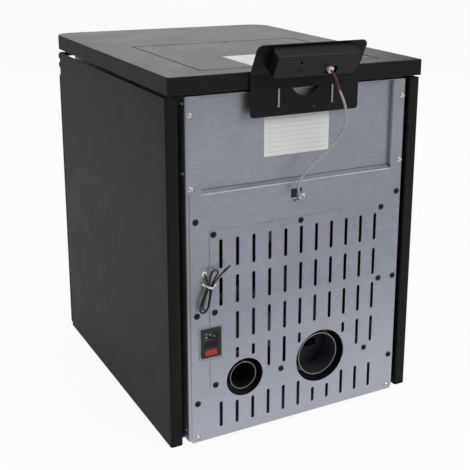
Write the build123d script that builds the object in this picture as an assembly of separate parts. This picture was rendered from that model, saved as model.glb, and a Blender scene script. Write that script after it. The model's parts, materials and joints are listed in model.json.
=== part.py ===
from build123d import *
from math import acos, cos, degrees, hypot, pi, radians, sin, sqrt, tan
import os

# Pellet stove, seen in the photograph from behind.
# Cabinet frame used while modelling: X to the right as seen from the front, rear panel face at Y = 0,
# front towards -Y, Z = 0 at the lower edge of the panels. save() moves it to the exported frame.

# Overall cabinet
TOP_WIDTH = 482.5
TOP_HEIGHT = 632.4
TOP_EDGE = 27.9
TOP_REAR = 3.1
TOP_FRONT = -600.0
TOP_CORNER = 38.0
TOP_SHEET = 2.5
PANEL_GAP = 5.4
FOOT_HEIGHT = 8.0
SIDE_WIDTH = 486.0
SIDE_SHEET = 1.5
SIDE_REAR = -4.0
SIDE_FRONT = -561.0
SIDE_FLANGE = 21.0
SIDE_RETURN = 12.0
CHASSIS_WIDTH = 422.8
CHASSIS_SHEET = 1.5
CHASSIS_FRONT = -556.5
CHASSIS_TOP = 600.0
TRAY_SHEET = 2.0
TRAY_Z = 2.0
BEND = 3.0

# Rear panels
PANEL_SHEET = 1.2
PANEL_WIDTH = 412.0
PANEL_TOP = 442.0
RECESS_WIDTH = 370.0
RECESS_DEPTH = 8.5
RECESS_LOW = 445.0
LIP_LOW = 437.5
COVER_SHEET = 1.0
COVER_WIDTH = 345.0
COVER_LOW = 95.0
COVER_TOP = 376.0
SLOT_WIDTH = 6.0
SLOT_PITCH = 30.6
SLOT_FIRST = 151.7
SLOT_ROW_PITCH = 66.3
SLOT_LENGTH = 50.5
SLOT_TOP = 360.0
BASE_SLOT_LOW = 18.0
BASE_SLOT_TOP = 66.0

# Flue and air intake
FLUE_X = -45.8
FLUE_Z = 105.8
FLUE_R = 40.0
FLUE_WALL = 1.5
FLUE_REAR = -8.3
FLUE_LENGTH = 34.0
FLUE_GAP = 10.0
INTAKE_X = 106.5
INTAKE_Z = 101.5
INTAKE_R = 25.0
INTAKE_WALL = 1.5
INTAKE_REAR = -6.0
INTAKE_LENGTH = 40.0
INTAKE_GAP = 10.0

# Cable cut-out and probe grommet in the rear panel
CABLE_CUT = (-1.0, 20.0, 412.0, 428.0)
GROMMET_X = 182.0
GROMMET_Z = 304.5
GROMMET_HOLE_R = 2.6

# Power inlet
INLET_X = 170.75
INLET_Z = 181.0
INLET_WIDTH = 35.5
INLET_HEIGHT = 52.0
INLET_CUT_WIDTH = 27.0
INLET_CUT_HEIGHT = 50.0
INLET_DEPTH = 28.0
INLET_FRAME = 2.5
INLET_PLATE = (152.0, 192.0, 150.0, 210.0)
ROCKER_PIVOT_R = 1.2
ROCKER_TILT = 7.0
SOCKET = (-12.4, 12.4, 3.0, 19.5)
FUSE = (-12.4, 12.4, -7.5, 1.0)
ROCKER = (-11.3, 11.3, -24.2, -12.2)

# Hopper and lid
LID_LEFT = -177.0
LID_RIGHT = 168.0
LID_REAR = -37.0
LID_FRONT = -345.0
LID_GAP = 2.5
LID_SHEET = 2.5
LID_PIVOT_Y = -45.0
LID_PIVOT_DROP = 4.9
LID_PIN_R = 1.5
COLLAR_INSET = 10.0
COLLAR_REAR = -57.0
HOPPER_SHEET = 1.5
HOPPER_TAPER_TOP = 560.0
HOPPER_OUT_Z = 322.0

# Auger
AUGER_TILT = 40.0
AUGER_Y = -150.0
AUGER_Z = 285.0
AUGER_TUBE_R = 30.0
AUGER_TUBE_WALL = 2.0
AUGER_LOW = -90.0
AUGER_HIGH = 275.0
FLIGHT_R = 26.5
FLIGHT_PITCH = 42.0
AUGER_SHAFT_R = 8.0
GEARBOX_LONG = 38.0

# Firebox
FIREBOX_WIDTH = 300.0
FIREBOX_REAR = -345.0
FIREBOX_LOW = 92.0
FIREBOX_TOP = 547.0
FIREBOX_SHEET = 3.0
FIRE_WINDOW_LOW = 160.0
FIRE_WINDOW_TOP = 470.0
FIRE_WINDOW_WIDTH = 250.0
HOLDER_WIDTH = 116.0
HOLDER_TOP = 150.0
POT_WIDTH = 89.0
POT_DEPTH = 85.0
POT_Y = -445.0
POT_LOW = 110.0
POT_TOP = 186.0
POT_WALL = 4.0
POT_GAP = 0.5
TUBE_COUNT = 6
TUBE_R = 16.0
TUBE_PITCH = 42.0
TUBE_Z = 512.0
LINER_THICK = 12.0
IGNITER_R = 5.0
IGNITER_Z = 139.0

# Front
DOOR_FRONT = -597.0
DOOR_REAR = -567.0
DOOR_CORNER = 29.0
DOOR_SHEET = 2.0
DOOR_LOW = 91.0
DOOR_TOP = 549.5
DOOR_WIDTH = 482.5
DOOR_FRAME_SHEET = 6.0
GLASS_THICK = 4.0
HINGE_X = -225.0
HINGE_Y = -584.0
HINGE_PIN_R = 4.0
HINGE_PLATE = 2.0
HANDLE_X = 207.0
HANDLE_Z = 330.0
DRAWER_LOW = 4.0
DRAWER_TOP = 88.0
PAN_WIDTH = 264.0
PAN_REAR = -400.0
SLAT_HEIGHT = 8.0
SLAT_DROPS = (9.5, 27.5)

# Display
BRACKET_SHEET = 1.5
BRACKET_REAR = 7.0
BRACKET_LEFT = -103.6
BRACKET_RIGHT = 102.0
BRACKET_LOW = 557.5
BRACKET_BEND = 628.0
BRACKET_LEAN = 28.5
BRACKET_RISE = 56.0
HOUSING_WIDTH = 154.0
HOUSING_LOW = 9.0
HOUSING_TOP = 52.0
HOUSING_DEPTH = 26.5
HOUSING_WALL = 2.0
KEY_TRAVEL = 0.8
HOOK_X = 51.0
KEY_PLACES = [(-60, 23.5), (-40, 23.5), (-60, 38.5), (-40, 38.5)]
PLUG_X = -26.0
PLUG_UP = 21.0
PLUG_FACE = 30.0
LOWER_PLUG = (-4.5, 6.0, 409.5, 417.5)
LOWER_PLUG_FACE = 5.0

# Screws and feet, in places of X and Z, or X and Y for the feet
SCREW_R = 1.9
HEAD_R = 5.6
HEAD_HEIGHT = 3.4
SCREW_LENGTH = 7.0
COVER_SCREWS = [
    (165, 370), (0, 370), (-167, 370), (163, 233),
    (-167, 233), (162, 100), (35, 100), (-141, 100),
]
BORDER_SCREWS = [(196, 395), (-200, 395), (195, 232), (-200, 232), (195, 72), (-199, 72)]
BASE_SCREWS = [(196, 8), (-197, 8)]
CHASSIS_SCREWS = [(203, 570), (203, 450), (-205, 570), (-205, 452)]
SIDE_SCREW_Z = (588, 475, 22)
SIDE_SCREW_Y = -14.0
FEET = [(-170, -500), (170, -500), (-170, -90), (170, -90)]
FOOT_STEM_R = 5.0

# Blowers
BLOWER_X = 95.0
BLOWER_Z = 190.0
BLOWER_R = 55.0
BLOWER_FRONT = -110.0
BLOWER_REAR = -60.0
BLOWER_WALL = 3.0
BAFFLE_Y = -60.0
FAN_X = -130.0
FAN_Y = -235.0
FAN_Z = 112.0
FAN_R = 72.0
FAN_WIDTH = 70.0

# Cords
CABLE_D = 4.2
PROBE_D = 3.0
PROBE_STEP = 3.8
PROBE_WAIST = 1.9

# Display cable: from the plug in the display's back down to the cut-out in the rear panel
CABLE_POINTS = [
    (-26.0, 43.385, 632.14),
    (-26.0, 53.93, 626.41),
    (-34.0, 55.0, 604.0),
    (-47.0, 51.0, 583.0),
    (-57.5, 45.0, 560.0),
    (-61.0, 37.0, 536.0),
    (-52.0, 30.0, 513.0),
    (-33.0, 24.0, 492.0),
    (-9.0, 19.5, 471.0),
    (11.5, 17.5, 451.0),
    (18.0, 17.5, 436.0),
    (12.5, 16.0, 422.0),
    (1.0, 13.0, 413.4),
    (1.0, 5.0, 413.4),
]

# Probe cord: two loops drawn in at a tie, from the grommet to the sensor sleeve
HANK_TIE = (174.5, 287.0)
HANK_TILT = 16.0
HANK_Y = 6.0
HANK_DOWN = (51.0, 44.5)
HANK_UP = 27.0
HANK_LOBE = (9.0, 7.0)
HANK_UPPER_LOBE = 7.6
HANK_UPPER_LEAN = 3.3

# Clearances
SLIDE_CLEAR = 0.3
SCREW_CLEAR = 0.1
PIVOT_CLEAR = 0.05
SEAT_CLEAR = 0.3

# Places worked out from the sizes above
GUARD_Z = HOPPER_TAPER_TOP + 6
rocker_y = COVER_SHEET + INLET_FRAME - 3.0
rocker_z = INLET_Z + (ROCKER[2] + ROCKER[3]) / 2
glass_front = DOOR_FRONT + DOOR_SHEET + 8
top_low = TOP_HEIGHT - TOP_EDGE
side_top = top_low - PANEL_GAP
side_x = SIDE_WIDTH / 2
chassis_x = CHASSIS_WIDTH / 2
tray_top = TRAY_Z + TRAY_SHEET
chassis_rear = -PANEL_SHEET
recess_y = -RECESS_DEPTH
lean = radians(BRACKET_LEAN)
auger_angle = radians(AUGER_TILT)
display_plane = Plane(
    origin=(0, BRACKET_REAR, BRACKET_BEND), x_dir=(1, 0, 0), z_dir=(0, -cos(lean), sin(lean))
)
auger_plane = Plane(
    origin=(0, AUGER_Y, AUGER_Z), x_dir=(1, 0, 0), z_dir=(0, -cos(auger_angle), sin(auger_angle))
)
handle_front = DOOR_FRONT - 16.0
housing_back_y = BRACKET_REAR + HOUSING_TOP * sin(lean) + HOUSING_DEPTH * cos(lean)
y_centre = (handle_front + housing_back_y) / 2


def save(name, shape):
    """Moves a piece from the cabinet frame to the exported frame and writes it."""
    placed = Pos(0, -y_centre, FOOT_HEIGHT) * shape
    placed.label = name
    export_step(placed, f"parts/{name}.step")


def box(x0, x1, y0, y1, z0, z1):
    """A block between two corners."""
    return Pos((x0 + x1) / 2, (y0 + y1) / 2, (z0 + z1) / 2) * Box(x1 - x0, y1 - y0, z1 - z0)


def rod_x(x0, x1, y, z, r):
    return Pos((x0 + x1) / 2, y, z) * Rot(0, 90, 0) * Cylinder(r, x1 - x0)


def rod_y(y0, y1, x, z, r):
    return Pos(x, (y0 + y1) / 2, z) * Rot(90, 0, 0) * Cylinder(r, y1 - y0)


def rod_z(z0, z1, x, y, r):
    return Pos(x, y, (z0 + z1) / 2) * Cylinder(r, z1 - z0)


def pipe_y(y0, y1, x, z, r, wall):
    return rod_y(y0, y1, x, z, r) - rod_y(y0 - 1, y1 + 1, x, z, r - wall)


def fold(points, radius, sheet, z0, z1):
    """Sheet metal folded along a centre line in plan, standing from z0 to z1."""
    line = FilletPolyline(*points, radius=radius)
    return Pos(0, 0, z0) * extrude(trace(line, sheet), z1 - z0)


def fold_across(points, radius, sheet, x0, x1):
    """Sheet metal folded along a centre line of (Y, Z) points, running from x0 to x1."""
    line = FilletPolyline(*points, radius=radius)
    side = Plane(origin=(x0, 0, 0), x_dir=(0, 1, 0), z_dir=(1, 0, 0))
    return extrude(side * trace(line, sheet), x1 - x0, dir=(1, 0, 0))


def upright(y, sketch, thick):
    """An XZ outline as a plate whose rear face is at y."""
    face = Plane(origin=(0, y, 0), x_dir=(1, 0, 0), z_dir=(0, -1, 0))
    return extrude(face * sketch, thick, dir=(0, -1, 0))


def area(x0, x1, z0, z1, radius=0):
    """A rectangle in an outline, with round corners where a radius is given."""
    middle = Pos((x0 + x1) / 2, (z0 + z1) / 2)
    if radius:
        return middle * RectangleRounded(x1 - x0, z1 - z0, radius)
    return middle * Rectangle(x1 - x0, z1 - z0)


def disc(x, z, r):
    return Pos(x, z) * Circle(r)


def slot(x, z0, z1, width=SLOT_WIDTH):
    return Pos(x, (z0 + z1) / 2) * Rot(0, 0, 90) * SlotOverall(z1 - z0, width)


# Screws


def screw(length=SCREW_LENGTH, head_r=HEAD_R, head_height=HEAD_HEIGHT):
    """A domed cross-head screw, head up, its seat at Z = 0."""
    dome_r = (head_r**2 + head_height**2) / (2 * head_height)
    head = Pos(0, 0, head_height - dome_r) * Sphere(dome_r) & box(-9, 9, -9, 9, 0, 9)
    recess_depth = 0.6 * head_height
    for turn in (0, 90):
        blade = Box(1.2 * head_r, 0.26 * head_r, recess_depth)
        head -= Pos(0, 0, head_height - recess_depth / 2) * Rot(0, 0, turn) * blade
    return head + rod_z(-length, 0.4, 0, 0, SCREW_R)


def rear_screw(x, y, z):
    return Pos(x, y, z) * Rot(-90, 0, 0) * screw()


def screw_holes(places):
    holes = Sketch()
    for x, z in places:
        holes += disc(x, z, SCREW_R + SCREW_CLEAR)
    return holes


# Base, chassis and outer panels


def make_base_tray():
    """Flat tray under the whole cabinet, with two pressed runners for the ash drawer."""
    tray = box(-chassis_x + 3, chassis_x - 3, CHASSIS_FRONT, -3, TRAY_Z, tray_top)
    reach = side_x - SIDE_SHEET
    tray += box(-reach, reach, SIDE_FRONT + 12, SIDE_REAR - SIDE_RETURN - 6, TRAY_Z, tray_top)
    for x in (-105, 105):
        tray += box(x - 6, x + 6, CHASSIS_FRONT, PAN_REAR - 10, tray_top, DRAWER_LOW + 6 - SLIDE_CLEAR)
    for x, y in FEET:
        tray -= rod_z(-1, tray_top + 1, x, y, FOOT_STEM_R + SCREW_CLEAR)
    return tray


def make_feet():
    """Four threaded levelling feet with round pads and lock nuts."""
    feet = []
    for x, y in FEET:
        foot = rod_z(-FOOT_HEIGHT, -FOOT_HEIGHT + 5, x, y, 18)
        foot = chamfer(foot.edges().sort_by(Axis.Z)[-1], 1.5)
        foot += rod_z(-FOOT_HEIGHT, 22, x, y, FOOT_STEM_R)
        nut = Pos(x, y, tray_top) * extrude(RegularPolygon(9, 6), 6)
        foot += nut
        collar = Pos(x, y, TRAY_Z - 4) * extrude(RegularPolygon(9, 6), 4)
        feet.append(foot + collar)
    return Compound(children=feet)


def make_chassis_side(side):
    """Galvanised inner side with a rear flange, drilled for the panel screws."""
    half = CHASSIS_SHEET / 2
    x = side * (chassis_x - half)
    inner = side * (RECESS_WIDTH / 2)
    rear = chassis_rear - half
    path = [(x, CHASSIS_FRONT), (x, rear), (inner, rear)]
    sheet = fold(path, BEND, CHASSIS_SHEET, tray_top, CHASSIS_TOP)
    holes = [p for p in BORDER_SCREWS + BASE_SCREWS + CHASSIS_SCREWS if p[0] * side > 0]
    sheet -= upright(1, screw_holes(holes), 6)
    for z in SIDE_SCREW_Z:
        near = min(x - 4, x + 4)
        sheet -= rod_x(near, near + 8, SIDE_SCREW_Y, z, SCREW_R + SCREW_CLEAR)
    return sheet


def make_side_panel(side):
    """Painted outer side, folded in at the rear and at the front edge."""
    half = SIDE_SHEET / 2
    x = side * (side_x - half)
    flange = side * (side_x - SIDE_FLANGE)
    rear = SIDE_REAR - half
    path = [
        (side * (side_x - 9), SIDE_FRONT + half),
        (x, SIDE_FRONT + half),
        (x, rear),
        (flange, rear),
        (flange, rear - SIDE_RETURN),
    ]
    return fold(path, BEND, SIDE_SHEET, 0, side_top)


def make_top_frame():
    """Frame that ties the chassis sides, carries the hopper and props the top plate."""
    low = CHASSIS_TOP
    high = low + 2
    frame = box(-chassis_x, chassis_x, CHASSIS_FRONT, -14, low, high)
    frame -= box(hopper_x0() - 1, hopper_x1() + 1, hopper_y0() - 1, COLLAR_REAR + 1, low - 1, high + 1)
    for x in (-190, 190):
        for y in (-520, -24):
            frame += box(x - 12, x + 12, y - 9, y + 9, high, TOP_HEIGHT - TOP_SHEET)
    return frame


def rounded_plan(width, front, rear, z0, z1, front_r, rear_r):
    body = box(-width / 2, width / 2, front, rear, z0, z1)
    posts = body.edges().filter_by(Axis.Z).sort_by(Axis.Y)
    body = fillet(posts[:2], front_r)
    posts = body.edges().filter_by(Axis.Z).sort_by(Axis.Y)
    return fillet(posts[-2:], rear_r)


def make_top_plate():
    """Tray-shaped painted top with the lid opening and the two lid pivots below it."""
    plate = rounded_plan(TOP_WIDTH, TOP_FRONT, TOP_REAR, top_low, TOP_HEIGHT, TOP_CORNER, BEND)
    plate = fillet(plate.faces().sort_by(Axis.Z)[-1].edges(), 1.6)
    hollow = rounded_plan(
        TOP_WIDTH - 2 * TOP_SHEET,
        TOP_FRONT + TOP_SHEET,
        TOP_REAR - TOP_SHEET,
        top_low - 1,
        TOP_HEIGHT - TOP_SHEET,
        TOP_CORNER - TOP_SHEET,
        BEND - TOP_SHEET + 0.5,
    )
    plate -= hollow
    opening = box(LID_LEFT, LID_RIGHT, LID_FRONT, LID_REAR, TOP_HEIGHT - 9, TOP_HEIGHT + 1)
    opening = fillet(opening.edges().filter_by(Axis.Z), 4)
    plate -= opening
    pivot_z = TOP_HEIGHT - LID_PIVOT_DROP
    for x, side in ((LID_LEFT, -1), (LID_RIGHT, 1)):
        outer = x + side * 12
        ends = sorted((x, outer))
        block = box(*ends, LID_PIVOT_Y - 5, LID_PIVOT_Y + 5, pivot_z - 4, TOP_HEIGHT - TOP_SHEET)
        inner = x - side * 8
        block += rod_x(min(inner, outer), max(inner, outer), LID_PIVOT_Y, pivot_z, LID_PIN_R)
        plate += block
    return plate


def make_lid():
    """Flat hopper lid with softened edges, a finger notch and two pivot ears."""
    x0 = LID_LEFT + LID_GAP
    x1 = LID_RIGHT - LID_GAP
    y0 = LID_FRONT + LID_GAP
    y1 = LID_REAR - LID_GAP
    low = TOP_HEIGHT - LID_SHEET
    lid = box(x0, x1, y0, y1, low, TOP_HEIGHT)
    lid = fillet(lid.edges().filter_by(Axis.Z), 3)
    lid = fillet(lid.faces().sort_by(Axis.Z)[-1].edges(), 1.2)
    lid -= rod_z(low - 1, TOP_HEIGHT + 1, -22, y0, 7)
    pivot_z = TOP_HEIGHT - LID_PIVOT_DROP
    for x, side in ((x0, 1), (x1, -1)):
        ear_x = sorted((x + side * 1.0, x + side * 4.0))
        ear = box(ear_x[0], ear_x[1], LID_PIVOT_Y - 4, LID_PIVOT_Y + 4, pivot_z, low)
        ear += rod_x(ear_x[0], ear_x[1], LID_PIVOT_Y, pivot_z, 4)
        ear -= rod_x(ear_x[0] - 1, ear_x[1] + 1, LID_PIVOT_Y, pivot_z, LID_PIN_R + PIVOT_CLEAR)
        lid += ear
    seal_x0, seal_x1 = hopper_x0() - 3, hopper_x1() + 3
    rim_low = low - 2.2
    rim = box(seal_x0, seal_x1, hopper_y0() - 3, COLLAR_REAR + 3, rim_low, low)
    rim -= box(seal_x0 + 9, seal_x1 - 9, hopper_y0() + 6, COLLAR_REAR - 6, rim_low - 1, low + 1)
    return lid + rim


# Hopper


def hopper_x0():
    return LID_LEFT + LID_GAP + COLLAR_INSET


def hopper_x1():
    return LID_RIGHT - LID_GAP - COLLAR_INSET


def hopper_y0():
    return LID_FRONT + LID_GAP + 5.0


def hopper_form(inset):
    """Collar, taper and outlet of the hopper, drawn in by an inset for its inside."""
    top = TOP_HEIGHT - LID_SHEET - 2.2 - SEAT_CLEAR
    x0, x1 = hopper_x0() + inset, hopper_x1() - inset
    y0, y1 = hopper_y0() + inset, COLLAR_REAR - inset
    end = 1.0 if inset else 0.0
    collar = box(x0, x1, y0, y1, HOPPER_TAPER_TOP, top + end)
    upper = Pos((x0 + x1) / 2, (y0 + y1) / 2, HOPPER_TAPER_TOP) * Rectangle(x1 - x0, y1 - y0)
    lower = Pos(0, AUGER_Y, HOPPER_OUT_Z) * Rectangle(56 - 2 * inset, 70 - 2 * inset)
    taper = loft([upper, lower])
    neck = box(-28 + inset, 28 - inset, AUGER_Y - 35 + inset, AUGER_Y + 35 - inset, 262, HOPPER_OUT_Z)
    return collar + taper + neck


def make_hopper():
    """Sheet hopper hung by its flange, its neck cut to sit over the auger tube."""
    hopper = hopper_form(0)
    seat = CHASSIS_TOP + 2
    flange_top = seat + HOPPER_SHEET
    flange = box(hopper_x0() - 10, hopper_x1() + 10, hopper_y0() - 6, COLLAR_REAR + 12, seat, flange_top)
    hopper += flange
    hopper -= hopper_form(HOPPER_SHEET)
    for x in (hopper_x0() + 0.5, hopper_x1() - 8.5):
        for y in (hopper_y0() + 60, COLLAR_REAR - 72):
            hopper += box(x, x + 8, y, y + 12, GUARD_Z - 3, GUARD_Z)
    tube = auger_plane * (Pos(0, 0, 90) * Cylinder(AUGER_TUBE_R + SEAT_CLEAR, 420))
    hopper -= tube
    below = auger_plane * box(-60, 60, -160, 0, -200, 300)
    return hopper - below


def make_guard():
    """Welded wire guard that lies on studs inside the hopper."""
    x0, x1 = hopper_x0() + HOPPER_SHEET + 1, hopper_x1() - HOPPER_SHEET - 1
    y0, y1 = hopper_y0() + HOPPER_SHEET + 1, COLLAR_REAR - HOPPER_SHEET - 1
    z = GUARD_Z
    guard = box(x0, x1, y0, y1, z, z + 4)
    guard -= box(x0 + 4, x1 - 4, y0 + 4, y1 - 4, z - 1, z + 5)
    count = 8
    for i in range(1, count):
        x = x0 + (x1 - x0) * i / count
        guard += box(x - 1.5, x + 1.5, y0 + 1, y1 - 1, z, z + 3)
    for y in (y0 + (y1 - y0) / 3, y0 + (y1 - y0) * 2 / 3):
        guard += box(x0 + 1, x1 - 1, y - 1.5, y + 1.5, z + 1, z + 4)
    return guard


# Rear panels

def slot_x(column):
    return SLOT_FIRST - SLOT_PITCH * column


def cover_slots():
    """The service cover's four rows of ventilation slots, short or left out round the pipes."""
    slots = Sketch()
    for row in range(4):
        high = SLOT_TOP - SLOT_ROW_PITCH * row
        low = high - SLOT_LENGTH
        for column in range(11):
            x = slot_x(column)
            if row >= 2 and column == 0:
                continue
            if row == 3 and column in (6, 7):
                continue
            short = row == 3 and column in (1, 2, 5, 8)
            slots += slot(x, high - 20 if short else low, high)
    return slots


def base_slots():
    """The lowest row of slots, in the rear panel itself."""
    slots = Sketch()
    for column in range(11):
        top = BASE_SLOT_TOP
        if column in (1, 2):
            top = BASE_SLOT_TOP - 5
        if column in (6, 7):
            top = BASE_SLOT_TOP - 20
        slots += slot(slot_x(column), BASE_SLOT_LOW, top)
    return slots


def pipe_holes():
    return disc(FLUE_X, FLUE_Z, FLUE_R + FLUE_GAP) + disc(INTAKE_X, INTAKE_Z, INTAKE_R + INTAKE_GAP)


def inlet_cut(clear=0.25):
    half_w = INLET_CUT_WIDTH / 2 + clear
    half_h = INLET_CUT_HEIGHT / 2 + clear
    return area(INLET_X - half_w, INLET_X + half_w, INLET_Z - half_h, INLET_Z + half_h, 1.5)


def make_rear_panel():
    """Lower galvanised panel with its window, pipe holes and rolled upper lip."""
    half = PANEL_WIDTH / 2
    outline = area(-half, half, 0, PANEL_TOP, 1)
    outline -= area(-RECESS_WIDTH / 2 + 1, RECESS_WIDTH / 2 - 1, LIP_LOW, PANEL_TOP + 1)
    outline -= area(-158, 158, 228, 362, 3) + area(-158, 138, 152, 240, 3) + area(-158, -104, 108, 160, 3)
    outline -= area(12, 62, 112, 160, 3) + area(-158, -88, 139, 160, 3)
    outline -= area(-6, 62, 139, 160, 3) + area(70, 138, 140, 160, 3)
    outline -= pipe_holes() + base_slots() + inlet_cut()
    outline -= area(*CABLE_CUT, 1) + disc(12.5, 407.2, 2.0) + disc(6.4, 407.8, 1.7)
    outline -= disc(GROMMET_X, GROMMET_Z, GROMMET_HOLE_R)
    outline -= screw_holes(BORDER_SCREWS + BASE_SCREWS + COVER_SCREWS)
    panel = upright(0, outline, PANEL_SHEET)
    half_sheet = PANEL_SHEET / 2
    lip = fold_across(
        [
            (-half_sheet, LIP_LOW),
            (-half_sheet, LIP_LOW + 2),
            (recess_y + half_sheet, RECESS_LOW),
            (recess_y - 4, RECESS_LOW),
        ],
        1.5,
        PANEL_SHEET,
        -RECESS_WIDTH / 2 + 1,
        RECESS_WIDTH / 2 - 1,
    )
    return panel + lip


def make_service_cover():
    """Slotted cover screwed over the panel's window, notched round the power inlet."""
    half = COVER_WIDTH / 2
    outline = area(-half - 0.5, half - 0.5, COVER_LOW, COVER_TOP, 2)
    outline -= area(INLET_PLATE[0] - 1, half + 5, INLET_PLATE[2] - 1, INLET_PLATE[3] + 1, 1)
    outline -= cover_slots() + pipe_holes() + screw_holes(COVER_SCREWS)
    return upright(COVER_SHEET, outline, COVER_SHEET)


def make_upper_wall():
    """Recessed galvanised wall above the lower panel, with two tabs for the display bracket."""
    half = PANEL_SHEET / 2
    web = recess_y - half
    flange = chassis_rear - CHASSIS_SHEET - half
    inside = RECESS_WIDTH / 2 - half
    path = [(inside + 16, flange), (inside, flange), (inside, web)]
    path += [(-x, y) for x, y in reversed(path)]
    low = RECESS_LOW + PANEL_SHEET
    wall = fold(path, 1.0, PANEL_SHEET, low, CHASSIS_TOP - 3)
    lip = fold_across(
        [(web, CHASSIS_TOP - 6), (web, CHASSIS_TOP - half), (chassis_rear, CHASSIS_TOP - half)],
        1.5,
        PANEL_SHEET,
        -inside,
        inside,
    )
    wall += lip
    wall -= upright(2, screw_holes(CHASSIS_SCREWS), 9)
    for x in (-HOOK_X, HOOK_X):
        tab = box(x - 1.5, x + 1.5, recess_y - 0.2, BRACKET_REAR + 1.5, 576, 603)
        tab += box(x - 1.5, x + 1.5, BRACKET_REAR + SLIDE_CLEAR, BRACKET_REAR + 2.3, 572, 603)
        wall += tab
    return wall


def make_screws_black():
    screws = [rear_screw(x, COVER_SHEET, z) for x, z in COVER_SCREWS]
    screws += [rear_screw(x, 0, z) for x, z in BORDER_SCREWS]
    return Compound(children=screws)


def make_screws_silver():
    screws = [rear_screw(x, 0, z) for x, z in BASE_SCREWS]
    screws += [rear_screw(x, chassis_rear, z) for x, z in CHASSIS_SCREWS]
    for side in (-1, 1):
        for z in SIDE_SCREW_Z:
            place = Pos(side * chassis_x, SIDE_SCREW_Y, z) * Rot(0, side * 90, 0)
            screws.append(place * screw(5.0, 3.8, 2.2))
    return Compound(children=screws)


# Power inlet


def make_power_inlet():
    """Snap-in module with an appliance socket, a fuse drawer bay and a switch bay."""
    x, z = INLET_X, INLET_Z
    w, h = INLET_WIDTH / 2, INLET_HEIGHT / 2
    face = COVER_SHEET + INLET_FRAME
    body = upright(face, area(x - w, x + w, z - h, z + h, 2), face)
    plate = upright(COVER_SHEET, area(*INLET_PLATE, 2), COVER_SHEET)
    cw, ch = INLET_CUT_WIDTH / 2, INLET_CUT_HEIGHT / 2
    body += upright(0.5, area(x - cw, x + cw, z - ch, z + ch, 1.5), INLET_DEPTH + 0.5)
    front = COVER_SHEET + INLET_FRAME + 1
    socket = upright(front, area(x + SOCKET[0], x + SOCKET[1], z + SOCKET[2], z + SOCKET[3], 3), front + 16)
    fuse = box(x + FUSE[0], x + FUSE[1], -20, front, z + FUSE[2], z + FUSE[3])
    bay = box(x + ROCKER[0], x + ROCKER[1], -14, front, z + ROCKER[2], z + ROCKER[3])
    body = body + plate - socket - fuse - bay
    pivot_reach = ROCKER[1] + 1.5
    body -= rod_x(x - pivot_reach, x + pivot_reach, rocker_y, rocker_z, ROCKER_PIVOT_R + PIVOT_CLEAR)
    for pin_x, pin_z in pin_places():
        body -= box(pin_x - 1.6, pin_x + 1.6, -INLET_DEPTH - 1, -10, pin_z - 0.8, pin_z + 0.8)
    return body


def pin_places():
    z = INLET_Z + (SOCKET[2] + SOCKET[3]) / 2
    return [(INLET_X - 7, z - 2), (INLET_X + 7, z - 2), (INLET_X, z + 2)]


def make_inlet_pins():
    pins = []
    for x, z in pin_places():
        pin = box(x - 1.5, x + 1.5, -INLET_DEPTH - 6, COVER_SHEET - 2, z - 0.7, z + 0.7)
        pins.append(pin)
    return Compound(children=pins)


def make_fuse_drawer():
    """Small drawer with a finger lip that slides out of the module."""
    x, z = INLET_X, INLET_Z
    c = SLIDE_CLEAR
    face = COVER_SHEET + INLET_FRAME + 0.6
    drawer = box(x + FUSE[0] + c, x + FUSE[1] - c, -19.5, face, z + FUSE[2] + c, z + FUSE[3] - c)
    drawer -= box(x - 8, x + 8, -17, -2, z + FUSE[2] + 1.6, z + FUSE[3] + 1)
    drawer -= box(x - 4, x + 4, face - 1.2, face + 1, z + FUSE[2] - 1, z + FUSE[2] + 2.4)
    return drawer


def make_rocker():
    """Rocker with a hollowed face, tipped to its off side."""
    width = ROCKER[1] - ROCKER[0] - 2 * SLIDE_CLEAR
    height = ROCKER[3] - ROCKER[2] - 2 * 0.7
    cap = Box(width, 7.0, height)
    cap = fillet(cap.edges().filter_by(Axis.X), 1.2)
    cap -= Pos(0, 30 + 2.2, 0) * Rot(0, 90, 0) * Cylinder(30, width + 2)
    cap += Rot(0, 90, 0) * Cylinder(ROCKER_PIVOT_R, 2 * (ROCKER[1] + 1.2))
    return Pos(INLET_X, rocker_y, rocker_z) * Rot(ROCKER_TILT, 0, 0) * cap


# Display

def make_display_bracket():
    """Bent sheet that hangs on two tabs and leans back above the top plate."""
    half = BRACKET_SHEET / 2
    y = BRACKET_REAR - half
    up = BRACKET_RISE
    points = [
        (y, BRACKET_LOW),
        (y, BRACKET_BEND + half * tan(lean / 2)),
        (y + up * sin(lean), BRACKET_BEND + up * cos(lean) + half * tan(lean / 2)),
    ]
    bracket = fold_across(points, 4.0, BRACKET_SHEET, BRACKET_LEFT, BRACKET_RIGHT)
    low_corners = bracket.edges().filter_by(Axis.Y).sort_by(Axis.Z)[:2]
    bracket = fillet(low_corners, 6)
    across = bracket.edges().filter_by(lambda e: abs(e.length - BRACKET_SHEET) < 0.01)
    far = across.filter_by(lambda e: e.center().Z > BRACKET_BEND + 10)
    bracket = fillet(far, 11)
    for x in (-HOOK_X, HOOK_X):
        bracket -= upright(BRACKET_REAR + 3, area(x - 2.2, x + 2.2, 571.4, 603.3), 8)
    moon = disc(-0.5, 615.5, 28.3) & area(-40, 40, 580, 603)
    bracket -= upright(BRACKET_REAR + 3, moon + disc(-17, 568, 1.4), 8)
    window = Pos(23, 31) * RectangleRounded(87, 31, 2)
    bracket -= display_plane * extrude(window, 6, both=True)
    for x, up_slope in KEY_PLACES:
        hole = Pos(x, up_slope) * RectangleRounded(13 + 2 * SLIDE_CLEAR, 10 + 2 * SLIDE_CLEAR, 2)
        bracket -= display_plane * extrude(hole, 6, both=True)
    return bracket


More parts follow.
